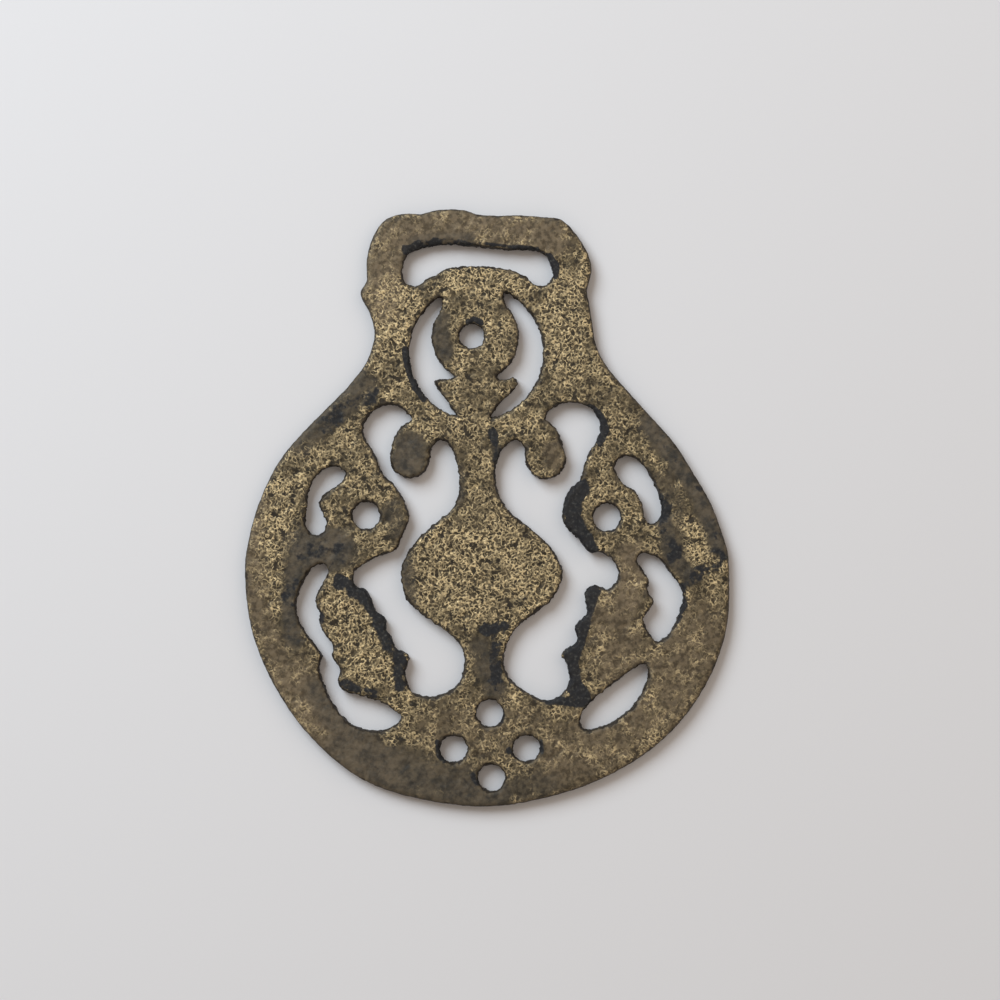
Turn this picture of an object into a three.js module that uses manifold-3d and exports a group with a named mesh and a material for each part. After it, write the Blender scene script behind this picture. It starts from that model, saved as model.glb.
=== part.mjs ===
// Horse brass: one flat casting, pierced right through, with a loop for the harness strap above the disc.
// It lies face up on its flat back. X runs across the disc, Y runs up to the strap loop, Z is the thickness.
// The figures are drawn from the middle of the disc, in millimetres on a brass of the drawn width,
// and grow with the width of the disc. Walls, slot, holes and thickness keep sizes of their own.
import * as THREE from 'three';
import { mergeVertices } from 'three/addons/utils/BufferGeometryUtils.js';
import Module from 'manifold-3d';

const wasm = await Module();
wasm.setup();

// Disc and plate
const DRAWN_WIDTH = 72.6;
const DISC_WIDTH = 72.6;
const PLATE_THICKNESS = 2.2;
const EDGE_ROUNDING = 0.4;
const CAST_FILLET = 0.6;

// Strap loop: a slot that is low in the middle and deeper at its two ends, with a bar all round it
const SLOT_WIDTH = 22.9;
const SLOT_MIDDLE_HEIGHT = 2.9;
const SLOT_END_HEIGHT = 4.9;
const SLOT_RISE = 46.35;
const SLOT_SHIFT = -1.9;
const LOOP_SIDE = 5.3;
const LOOP_BAR = 5.05;

// Ring window above the vase, with the pierced disc that hangs in it
const RING_WINDOW = 20.3;
const INNER_DISC = 13.0;
const INNER_DISC_HOLE = 3.9;
const INNER_DISC_NECK = 9.4;
const INNER_DISC_NECK_TOP = 9.0;
const INNER_DISC_NECK_SHIFT = -0.65;

// Round holes
const EYE_HOLE = 4.3;
const DROP_HOLE = 4.25;

// Steps of the smooth curves between two points, of the tracing grid, and of the outline that comes out of it
const CURVE_STEPS = 5;
const TRACE_STEP = 0.35;
const OUTLINE_TOLERANCE = 0.04;
const OUTLINE_MARGIN = 2;

// Sharpest corner that is turned in at full length (one plus the cosine of its turn), and the least
// share of a side's length that has to be left of it
const MITRE_LIMIT = 0.6;
const SIDE_LEFT = 0.2;
const TURNING_PASSES = 5;

// Steps up a wall: the back's turned edge, the wall between, and the front's turned edge
const WALL_STEPS = 3;

const scale = DISC_WIDTH / DRAWN_WIDTH;
const slotMiddle = new THREE.Vector2(SLOT_SHIFT, SLOT_RISE * scale);
const loopLeft = slotMiddle.x - SLOT_WIDTH / 2 - LOOP_SIDE;
const loopRight = slotMiddle.x + SLOT_WIDTH / 2 + LOOP_SIDE;
const loopTop = slotMiddle.y + SLOT_MIDDLE_HEIGHT / 2 + LOOP_BAR;

// How far the worn rim reaches from the middle, every 15 degrees from the left side round below
// to the right side
const RIM_REACH = [36.6, 36.9, 36.95, 37.2, 37.4, 36.6, 36.3, 36.05, 36.45, 37.1, 37.3, 37.0, 36.1];

// Shoulders between the disc and the loop, from the disc's widest place upwards
const LEFT_SHOULDER = [
  [-36.15, 3.0], [-35.4, 6.4], [-33.8, 11.0], [-31.3, 15.75], [-28.4, 19.3], [-24.9, 22.9],
  [-21.3, 26.5], [-18.6, 29.95], [-17.6, 32.2], [-17.1, 34.6],
];
const RIGHT_SHOULDER = [
  [35.9, 2.0], [35.0, 5.0], [33.4, 9.2], [30.9, 13.5], [28.3, 17.7], [25.8, 20.7],
  [22.5, 24.3], [17.5, 30.1], [16.1, 33.0], [15.55, 36.0],
];

// The loop's outline: in from its left side, in from its right side, and as a share of the way
// from left to right, each with its drop from the top
const LOOP_LEFT_SIDE = [
  [4.8, 0.35], [2.9, 1.2], [1.7, 2.8], [0.9, 4.6], [0.3, 7.7], [0.4, 10.2], [-0.6, 11.9], [-0.35, 13.0],
  [0.75, 14.9],
];
const LOOP_RIGHT_SIDE = [
  [4.0, 1.0], [2.1, 2.7], [0.1, 5.8], [-0.5, 7.5], [-0.6, 8.8], [-0.3, 10.2], [0.1, 11.6], [-0.1, 13.0],
  [-0.35, 14.2],
];
const LOOP_TOP_EDGE = [
  [0.2, 0.1], [0.25, 0.25], [0.3, -0.2], [0.36, -0.5], [0.42, -0.5], [0.46, -0.3], [0.5, 0.2], [0.58, 0.45],
  [0.68, 0.4], [0.81, 0.65],
];

// The slot from its left end to its right: place along it, rise from its middle line,
// and how far its height has grown there from the middle height (0) to the end height (1)
const SLOT_PROFILE = [
  [-1.02, -2.55, 0.6], [-0.99, -1.1, 0.55], [-0.82, -0.95, 0.95], [-0.58, -0.15, 0.5], [-0.34, 0.05, 0.35],
  [0.08, -0.05, 0.0], [0.41, -0.37, 0.0], [0.65, -0.68, 0.2], [0.87, -1.02, 0.62], [1.0, -1.4, 0.75],
  [1.07, -2.6, 0.5],
];

// Vase between the two birds, from its neck down to its foot: height, middle and half its width
const VASE = [
  [21.0, -1.6, 6.0], [18.6, -1.5, 4.7], [17.0, -1.75, 3.55], [14.6, -1.8, 2.75], [11.2, -1.5, 2.75],
  [9.6, -1.4, 3.3], [7.8, -1.3, 4.5], [6.4, -1.4, 6.4], [4.2, -1.3, 8.9], [2.7, -1.1, 10.3],
  [1.0, -1.1, 11.4], [-0.6, -1.0, 12.0], [-1.8, -1.0, 12.1], [-3.2, -1.15, 11.8], [-4.6, -1.3, 11.2],
  [-5.8, -1.5, 10.3], [-7.9, -1.65, 7.65], [-9.2, -1.45, 5.85], [-10.4, -1.2, 4.6], [-11.8, -0.8, 3.6],
  [-13.6, -0.7, 2.9], [-15.4, -0.7, 3.0], [-16.7, -0.55, 3.3], [-17.9, -0.3, 4.1], [-19.3, -0.3, 6.0],
  [-22.0, -0.3, 10.0],
];

// Scrolls that curl down from the top of the vase: place and half the width
const LEFT_SCROLL = [[-4.2, 20.9, 2.0], [-8.6, 20.9, 2.1], [-11.4, 18.5, 2.75], [-11.8, 16.0, 2.95]];
const RIGHT_SCROLL = [[0.6, 20.9, 2.0], [5.4, 20.9, 2.1], [8.0, 18.9, 2.6], [8.6, 15.9, 3.0]];

// Leaf pair that holds the inner disc on the top of the vase
const LEAF_PAIR = [
  [-8.2, 27.6], [-6.8, 27.8], [-5.4, 27.9], [-2.2, 29.5], [1.3, 28.0], [2.5, 27.7], [3.5, 28.1], [4.2, 27.7],
  [4.1, 26.8], [2.95, 25.5], [1.6, 24.3], [0.6, 22.8], [-1.8, 21.0], [-4.5, 22.3], [-5.4, 23.5], [-6.6, 25.2],
  [-7.7, 26.6],
];

// Window on each side of the vase. Its outer edge is the bird's edge, from the tail up to the crest,
// and its inner edge runs inside the vase and the scroll.
const LEFT_WINDOW = [
  [-1.8, -12.0], [-2.2, -17.2], [-5.0, -19.2], [-8.6, -20.0], [-11.3, -19.4], [-12.25, -18.0], [-12.5, -15.8],
  [-12.0, -14.5], [-12.1, -13.4], [-13.8, -12.9], [-14.6, -11.0], [-15.5, -9.8], [-15.5, -8.2], [-16.9, -7.1],
  [-17.7, -5.2], [-18.5, -3.8], [-20.0, -3.3], [-20.5, -1.6], [-19.0, 0.0], [-16.5, 1.3], [-14.1, 2.2],
  [-13.0, 4.3], [-12.0, 7.2], [-13.0, 10.0], [-14.3, 12.0], [-15.7, 13.2], [-16.5, 14.8], [-17.4, 17.1],
  [-18.7, 18.9], [-18.9, 20.8], [-17.8, 22.8], [-15.5, 24.1], [-13.2, 23.7], [-11.6, 22.2], [-10.4, 20.8],
  [-1.8, 20.6],
];
const RIGHT_WINDOW = [
  [0.6, -12.0], [1.4, -17.0], [4.4, -18.8], [8.2, -20.6], [10.9, -19.7], [12.3, -17.4], [11.8, -15.0],
  [11.0, -13.4], [13.4, -11.5], [13.0, -9.3], [14.9, -7.3], [14.5, -4.2], [15.6, -3.1], [18.1, -3.8],
  [19.6, -1.8], [18.7, 0.8], [17.0, 1.8], [15.2, 1.9], [13.5, 3.9], [11.6, 5.8], [11.1, 7.4],
  [12.2, 11.3], [13.7, 12.5], [14.8, 16.1], [16.3, 18.6], [16.9, 20.8], [15.7, 23.4],
  [13.0, 24.4], [10.6, 24.1], [9.0, 23.1], [7.6, 20.8], [-1.8, 20.6],
];

// Curved windows between the birds and the rim
const RIM_WINDOWS = {
  leftUpper: [
    [-23.0, 14.9], [-24.5, 14.5], [-26.0, 13.3], [-27.2, 10.8], [-27.3, 8.6], [-27.7, 6.3], [-26.9, 4.7],
    [-25.8, 4.3], [-24.7, 5.0], [-24.3, 6.4], [-24.9, 7.9], [-25.5, 9.3], [-24.6, 10.5], [-22.9, 11.7],
    [-21.5, 13.0], [-21.8, 14.4],
  ],
  leftLower: [
    [-24.8, 0.2], [-26.4, -0.3], [-27.4, -1.6], [-28.4, -3.7], [-29.0, -6.1], [-28.6, -8.4], [-27.4, -10.5],
    [-26.0, -12.2], [-25.0, -13.9], [-25.6, -15.3], [-25.2, -17.0], [-24.3, -19.4], [-22.6, -22.2],
    [-20.8, -24.0], [-18.5, -24.9], [-16.0, -25.0], [-14.0, -24.2], [-13.0, -22.9], [-14.6, -21.5],
    [-17.0, -20.2], [-20.2, -19.3], [-22.0, -18.8], [-22.6, -17.4], [-22.3, -15.5], [-23.5, -13.9],
    [-23.2, -12.2], [-24.6, -10.4], [-25.4, -8.7], [-25.2, -7.4], [-26.0, -5.6], [-25.3, -3.7],
    [-24.5, -2.0], [-24.0, -0.8],
  ],
  rightUpper: [
    [21.2, 16.4], [19.5, 16.0], [18.9, 14.4], [20.0, 12.3], [22.1, 10.9], [23.1, 8.6], [23.6, 6.4],
    [25.2, 6.2], [26.1, 8.2], [25.6, 10.8], [24.2, 13.7], [22.6, 15.7],
  ],
  rightMiddle: [
    [24.4, 1.6], [22.9, 1.8], [22.2, 0.4], [23.2, -0.9], [24.1, -2.4], [23.8, -4.0], [24.8, -5.6],
    [23.9, -7.0], [23.1, -8.0], [24.0, -10.0], [25.2, -11.7], [27.0, -10.7], [28.3, -8.4], [29.3, -5.2],
    [28.8, -3.0], [27.2, -1.0], [26.0, 0.8],
  ],
  rightLower: [
    [23.6, -14.7], [21.4, -15.8], [19.3, -17.4], [16.9, -19.2], [14.4, -21.6], [13.6, -23.6], [14.5, -24.9],
    [16.6, -24.6], [18.9, -23.6], [21.8, -21.3], [23.3, -18.9], [24.1, -16.4],
  ],
};

const EYES = [[-18.4, 7.4], [17.8, 7.1]];
const DROPS = [[0.15, -22.3], [-5.25, -27.7], [5.7, -27.6], [0.45, -32.0]];
const INNER_DISC_PLACE = [-2.0, 34.2];
const INNER_DISC_HOLE_PLACE = [-2.5, 34.35];
const RING_WINDOW_PLACE = [-1.85, 31.85];

// A drawn place on a brass of the chosen width
function place([x, y]) {
  return new THREE.Vector2(x * scale, y * scale);
}

// Closed smooth curve through the given points, as a fine polygon
function smoothOutline(points) {
  const corners = points.map((point) => new THREE.Vector3(point.x, point.y, 0));
  const curve = new THREE.CatmullRomCurve3(corners, true, 'centripetal');
  return curve.getPoints(points.length * CURVE_STEPS).slice(0, -1)
    .map((point) => new THREE.Vector2(point.x, point.y));
}

// Each figure is a distance: negative inside it, positive outside
function disc(centre, radius) {
  return (x, y) => Math.hypot(x - centre.x, y - centre.y) - radius;
}

function stroke(stations) {
  return (x, y) => {
    let nearest = Infinity;
    for (let k = 0; k + 1 < stations.length; k += 1) {
      const from = stations[k];
      const to = stations[k + 1];
      const dx = to.at.x - from.at.x;
      const dy = to.at.y - from.at.y;
      const along = ((x - from.at.x) * dx + (y - from.at.y) * dy) / (dx * dx + dy * dy);
      const t = Math.min(1, Math.max(0, along));
      const reach = Math.hypot(x - from.at.x - t * dx, y - from.at.y - t * dy);
      nearest = Math.min(nearest, reach - from.radius - t * (to.radius - from.radius));
    }
    return nearest;
  };
}

function area(outline) {
  return (x, y) => {
    let nearest = Infinity;
    let inside = false;
    for (let k = 0, last = outline.length - 1; k < outline.length; last = k, k += 1) {
      const from = outline[last];
      const to = outline[k];
      const dx = to.x - from.x;
      const dy = to.y - from.y;
      const along = ((x - from.x) * dx + (y - from.y) * dy) / (dx * dx + dy * dy);
      const t = Math.min(1, Math.max(0, along));
      nearest = Math.min(nearest, Math.hypot(x - from.x - t * dx, y - from.y - t * dy));
      if ((from.y > y) !== (to.y > y) && x < from.x + ((y - from.y) * dx) / dy) {
        inside = !inside;
      }
    }
    return inside ? -nearest : nearest;
  };
}

// Where two figures meet, the casting runs from one to the other in a small fillet
function blend(a, b, fillet) {
  const near = Math.max(0, fillet - Math.abs(a - b)) / fillet;
  return Math.min(a, b) - (near * near * fillet) / 4;
}

function joined(figures) {
  return (x, y) => figures.reduce((sum, figure) => blend(sum, figure(x, y), CAST_FILLET), Infinity);
}

function cutFrom(whole, opening) {
  return (x, y) => -blend(-whole(x, y), opening(x, y), CAST_FILLET);
}

// The outer edge: the worn round of the disc, then the shoulders and the loop
function blankOutline() {
  const rim = RIM_REACH.map((reach, k) => {
    const angle = Math.PI * (1 + k / (RIM_REACH.length - 1));
    return place([reach * Math.cos(angle), reach * Math.sin(angle)]);
  });
  const onLoop = (x, down) => new THREE.Vector2(x, loopTop - down);
  const topLength = loopRight - loopLeft;
  const leftSide = LOOP_LEFT_SIDE.map(([inward, down]) => onLoop(loopLeft + inward, down));
  const rightSide = LOOP_RIGHT_SIDE.map(([inward, down]) => onLoop(loopRight - inward, down));
  const topEdge = LOOP_TOP_EDGE.map(([share, down]) => onLoop(loopLeft + share * topLength, down));
  return smoothOutline([
    ...rim,
    ...RIGHT_SHOULDER.map(place),
    ...rightSide.reverse(),
    ...topEdge.reverse(),
    ...leftSide,
    ...LEFT_SHOULDER.map(place).reverse(),
  ]);
}

function strapSlot() {
  const reach = (SLOT_WIDTH - SLOT_END_HEIGHT) / 2;
  return stroke(SLOT_PROFILE.map(([along, rise, growth]) => ({
    at: new THREE.Vector2(slotMiddle.x + along * reach, slotMiddle.y + rise),
    radius: (SLOT_MIDDLE_HEIGHT + growth * (SLOT_END_HEIGHT - SLOT_MIDDLE_HEIGHT)) / 2,
  })));
}

function vase() {
  const right = VASE.map(([height, middle, half]) => place([middle + half, height]));
  const left = VASE.map(([height, middle, half]) => place([middle - half, height]));
  return area(smoothOutline([...left.reverse(), ...right]));
}

function scroll(stations) {
  return stroke(stations.map(([x, y, half]) => ({ at: place([x, y]), radius: half * scale })));
}

function ringWindow() {
  const middle = place(INNER_DISC_PLACE);
  const neckTop = place(RING_WINDOW_PLACE);
  neckTop.x += INNER_DISC_NECK_SHIFT;
  neckTop.y += RING_WINDOW / 2;
  const hanging = joined([
    disc(middle, INNER_DISC / 2),
    stroke([{ at: middle, radius: INNER_DISC_NECK / 2 }, { at: neckTop, radius: INNER_DISC_NECK_TOP / 2 }]),
    area(smoothOutline(LEAF_PAIR.map(place))),
  ]);
  return cutFrom(disc(place(RING_WINDOW_PLACE), RING_WINDOW / 2), hanging);
}

function birdWindows() {
  const centrepiece = joined([vase(), scroll(LEFT_SCROLL), scroll(RIGHT_SCROLL)]);
  const windows = [LEFT_WINDOW, RIGHT_WINDOW].map((points) => area(smoothOutline(points.map(place))));
  return windows.map((window) => cutFrom(window, centrepiece));
}

function castFigure(edge) {
  const openings = [
    strapSlot(),
    ringWindow(),
    ...birdWindows(),
    ...Object.values(RIM_WINDOWS).map((points) => area(smoothOutline(points.map(place)))),
    ...EYES.map((eye) => disc(place(eye), EYE_HOLE / 2)),
    ...DROPS.map((drop) => disc(place(drop), DROP_HOLE / 2)),
    disc(place(INNER_DISC_HOLE_PLACE), INNER_DISC_HOLE / 2),
  ];
  const blank = area(edge);
  return (x, y) => {
    const solid = blank(x, y);
    const open = openings.reduce((least, opening) => Math.min(least, opening(x, y)), Infinity);
    return -blend(-solid, open, CAST_FILLET);
  };
}

// Closed lines along which the figure's distance is zero, with the metal on their left
function traceOutlines(figure, low, high) {
  const columns = Math.ceil((high.x - low.x) / TRACE_STEP) + 1;
  const rows = Math.ceil((high.y - low.y) / TRACE_STEP) + 1;
  const points = [];
  for (let row = 0; row < rows; row += 1) {
    for (let column = 0; column < columns; column += 1) {
      const x = low.x + column * TRACE_STEP;
      const y = low.y + row * TRACE_STEP;
      points.push({ x, y, distance: figure(x, y) || 1e-9 });
    }
  }
  const following = new Map();
  const crossing = (from, to) => {
    const a = points[from];
    const b = points[to];
    const t = a.distance / (a.distance - b.distance);
    const key = Math.min(from, to) * points.length + Math.max(from, to);
    return { key, at: new THREE.Vector2(a.x + t * (b.x - a.x), a.y + t * (b.y - a.y)) };
  };
  const traceTriangle = (corners) => {
    let leaving = null;
    let entering = null;
    corners.forEach((from, k) => {
      const to = corners[(k + 1) % 3];
      if (points[from].distance < 0 && points[to].distance > 0) leaving = crossing(from, to);
      if (points[from].distance > 0 && points[to].distance < 0) entering = crossing(from, to);
    });
    if (leaving) following.set(leaving.key, { at: leaving.at, next: entering.key });
  };
  for (let row = 0; row + 1 < rows; row += 1) {
    for (let column = 0; column + 1 < columns; column += 1) {
      const corner = row * columns + column;
      traceTriangle([corner, corner + 1, corner + columns + 1]);
      traceTriangle([corner, corner + columns + 1, corner + columns]);
    }
  }
  const outlines = [];
  while (following.size > 0) {
    const outline = [];
    let key = following.keys().next().value;
    while (following.has(key)) {
      const { at, next } = following.get(key);
      outline.push(at);
      following.delete(key);
      key = next;
    }
    outlines.push(outline);
  }
  return outlines;
}

function farthestFrom(origin, outline) {
  return outline.reduce((best, point, k) => (
    point.distanceTo(origin) > outline[best].distanceTo(origin) ? k : best
  ), 0);
}

// Keeps only the points that the outline needs within its tolerance, starting from its two ends
function thinned(traced) {
  const start = farthestFrom(new THREE.Vector2(), traced);
  const outline = [...traced.slice(start), ...traced.slice(0, start)];
  const half = farthestFrom(outline[0], outline);
  const kept = new Set([0, half]);
  const split = (first, last) => {
    const from = outline[first];
    const to = outline[last % outline.length];
    const length = Math.hypot(to.x - from.x, to.y - from.y) || 1;
    let farthest = OUTLINE_TOLERANCE;
    let at = -1;
    for (let k = first + 1; k < last; k += 1) {
      const point = outline[k];
      const cross = (to.x - from.x) * (point.y - from.y) - (to.y - from.y) * (point.x - from.x);
      const away = Math.abs(cross) / length;
      if (away > farthest) {
        farthest = away;
        at = k;
      }
    }
    if (at > 0) {
      kept.add(at);
      split(first, at);
      split(at, last);
    }
  };
  split(0, half);
  split(half, outline.length);
  return [...kept].sort((a, b) => a - b).map((k) => outline[k]);
}

function asSolid(geometry) {
  geometry.deleteAttribute('normal');
  geometry.deleteAttribute('uv');
  const merged = mergeVertices(geometry);
  const vertProperties = new Float32Array(merged.attributes.position.array);
  const triVerts = new Uint32Array(merged.index.array);
  return new wasm.Manifold(new wasm.Mesh({ numProp: 3, vertProperties, triVerts }));
}

// Where each corner of an outline goes when the outline is turned in by the given amount. A tight corner
// moves less, so that the sides next to it don't cross.
function turnedIn(outline, amount) {
  const count = outline.length;
  const moves = outline.map((point, k) => {
    const arriving = point.clone().sub(outline[(k + count - 1) % count]).normalize();
    const leaving = outline[(k + 1) % count].clone().sub(point).normalize();
    const inward = new THREE.Vector2(-arriving.y - leaving.y, arriving.x + leaving.x);
    return inward.multiplyScalar(amount / Math.max(MITRE_LIMIT, 1 + arriving.dot(leaving)));
  });
  for (let pass = 0; pass < TURNING_PASSES; pass += 1) {
    outline.forEach((point, k) => {
      const next = (k + 1) % count;
      const side = outline[next].clone().sub(point);
      const turned = side.clone().add(moves[next]).sub(moves[k]);
      if (turned.dot(side) < SIDE_LEFT * side.lengthSq()) {
        moves[k].multiplyScalar(0.5);
        moves[next].multiplyScalar(0.5);
      }
    });
  }
  return outline.map((point, k) => point.clone().add(moves[k]));
}

// A slab of the outline's shape and the plate's thickness. Its front and back edges are turned in by
// the given amount, or opened out where the amount is negative.
function slab(outline, amount) {
  const geometry = new THREE.ExtrudeGeometry(new THREE.Shape(outline), {
    depth: PLATE_THICKNESS,
    steps: WALL_STEPS,
    bevelEnabled: false,
  });
  const heights = [0, EDGE_ROUNDING, PLATE_THICKNESS - EDGE_ROUNDING, PLATE_THICKNESS];
  const nameOf = (x, y) => `${Math.fround(x)} ${Math.fround(y)}`;
  const faceOutline = turnedIn(outline, amount);
  const facePlaces = new Map(outline.map((point, k) => [nameOf(point.x, point.y), faceOutline[k]]));
  const position = geometry.attributes.position;
  for (let k = 0; k < position.count; k += 1) {
    const level = Math.round((WALL_STEPS * position.getZ(k)) / PLATE_THICKNESS);
    position.setZ(k, heights[level]);
    if (level === 0 || level === WALL_STEPS) {
      const at = facePlaces.get(nameOf(position.getX(k), position.getY(k)));
      position.setXY(k, at.x, at.y);
    }
  }
  return asSolid(geometry);
}

function plateGeometry() {
  const edge = blankOutline();
  const { min: low, max: high } = new THREE.Box2().setFromPoints(edge).expandByScalar(OUTLINE_MARGIN);
  const outlines = traceOutlines(castFigure(edge), low, high).map(thinned);
  const [outer, ...windows] = outlines.sort(
    (a, b) => THREE.ShapeUtils.area(b) - THREE.ShapeUtils.area(a),
  );
  let plate = slab(outer, EDGE_ROUNDING);
  windows.forEach((window) => {
    plate = plate.subtract(slab(window.reverse(), -EDGE_ROUNDING));
  });
  const { vertProperties, triVerts } = plate.getMesh();
  const geometry = new THREE.BufferGeometry();
  geometry.setAttribute('position', new THREE.BufferAttribute(vertProperties, 3));
  geometry.setIndex(new THREE.BufferAttribute(triVerts, 1));
  geometry.computeVertexNormals();
  geometry.computeBoundingBox();
  const { min, max } = geometry.boundingBox;
  return geometry.translate(-(min.x + max.x) / 2, -(min.y + max.y) / 2, -min.z);
}

const oldBrass = new THREE.MeshStandardMaterial({ color: 0x7d7148, roughness: 0.5, metalness: 0.85 });
const brass = new THREE.Mesh(plateGeometry(), oldBrass);
brass.name = 'pierced_brass';

const horseBrass = new THREE.Group();
horseBrass.add(brass);

export default horseBrass;
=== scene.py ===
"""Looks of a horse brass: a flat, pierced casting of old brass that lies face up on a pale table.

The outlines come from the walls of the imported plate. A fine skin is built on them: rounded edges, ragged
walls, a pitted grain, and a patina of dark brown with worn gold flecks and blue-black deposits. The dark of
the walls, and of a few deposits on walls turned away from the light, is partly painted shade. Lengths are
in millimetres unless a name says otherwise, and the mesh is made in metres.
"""

from __future__ import annotations

import logging
import math
from dataclasses import dataclass, field
from enum import Enum

import bpy
import numpy as np
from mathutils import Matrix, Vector
from mathutils.geometry import delaunay_2d_cdt
from mathutils.kdtree import KDTree

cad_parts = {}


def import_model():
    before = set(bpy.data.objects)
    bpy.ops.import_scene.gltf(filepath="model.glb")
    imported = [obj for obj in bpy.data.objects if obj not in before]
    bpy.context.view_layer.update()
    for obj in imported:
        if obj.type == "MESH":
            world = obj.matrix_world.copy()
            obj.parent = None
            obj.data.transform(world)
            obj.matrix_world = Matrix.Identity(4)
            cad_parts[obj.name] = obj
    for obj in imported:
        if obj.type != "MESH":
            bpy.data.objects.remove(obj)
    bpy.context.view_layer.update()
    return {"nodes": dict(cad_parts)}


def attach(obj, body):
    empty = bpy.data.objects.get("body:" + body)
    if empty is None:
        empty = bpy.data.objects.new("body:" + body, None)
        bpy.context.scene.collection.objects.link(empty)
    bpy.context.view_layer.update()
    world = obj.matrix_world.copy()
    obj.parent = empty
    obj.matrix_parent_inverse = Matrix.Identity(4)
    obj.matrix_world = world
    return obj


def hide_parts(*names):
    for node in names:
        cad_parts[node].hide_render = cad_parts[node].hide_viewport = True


LOG = logging.getLogger("horse_brass")
MM = 0.001
CAD_NODE = "pierced_brass"
MATERIAL_SLOT = "aged_cast_brass"
# A noise texture wanders about this value
NOISE_MIDDLE = 0.5


class Patina(Enum):
    """What a patch of the surface carries more of than the rest.

    Soot is the blue-black deposit, gilding is many gold flecks, dull is smooth grey patina, smooth is brown
    patina with few flecks, and worn is an edge that wear has rounded further. A few of the blue-black and
    grey strokes lie on walls turned away from the light and are partly painted shade.
    """

    SOOT = "soot_and_shade"
    GILDING = "gilding"
    DULL = "dull"
    SMOOTH = "smooth"
    WORN = "worn"


@dataclass(frozen=True)
class Patch:
    """A stroke on the front along which one kind of patina lies.

    Args:
        patina: the kind of patina
        where: the part of the ornament it lies on; not used
        path: points of the stroke
        reach: half the stroke's width
        strength: how strong the patina is along the stroke, up to 1
    """

    patina: Patina
    where: str
    path: tuple[tuple[float, float], ...]
    reach: float
    strength: float


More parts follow.
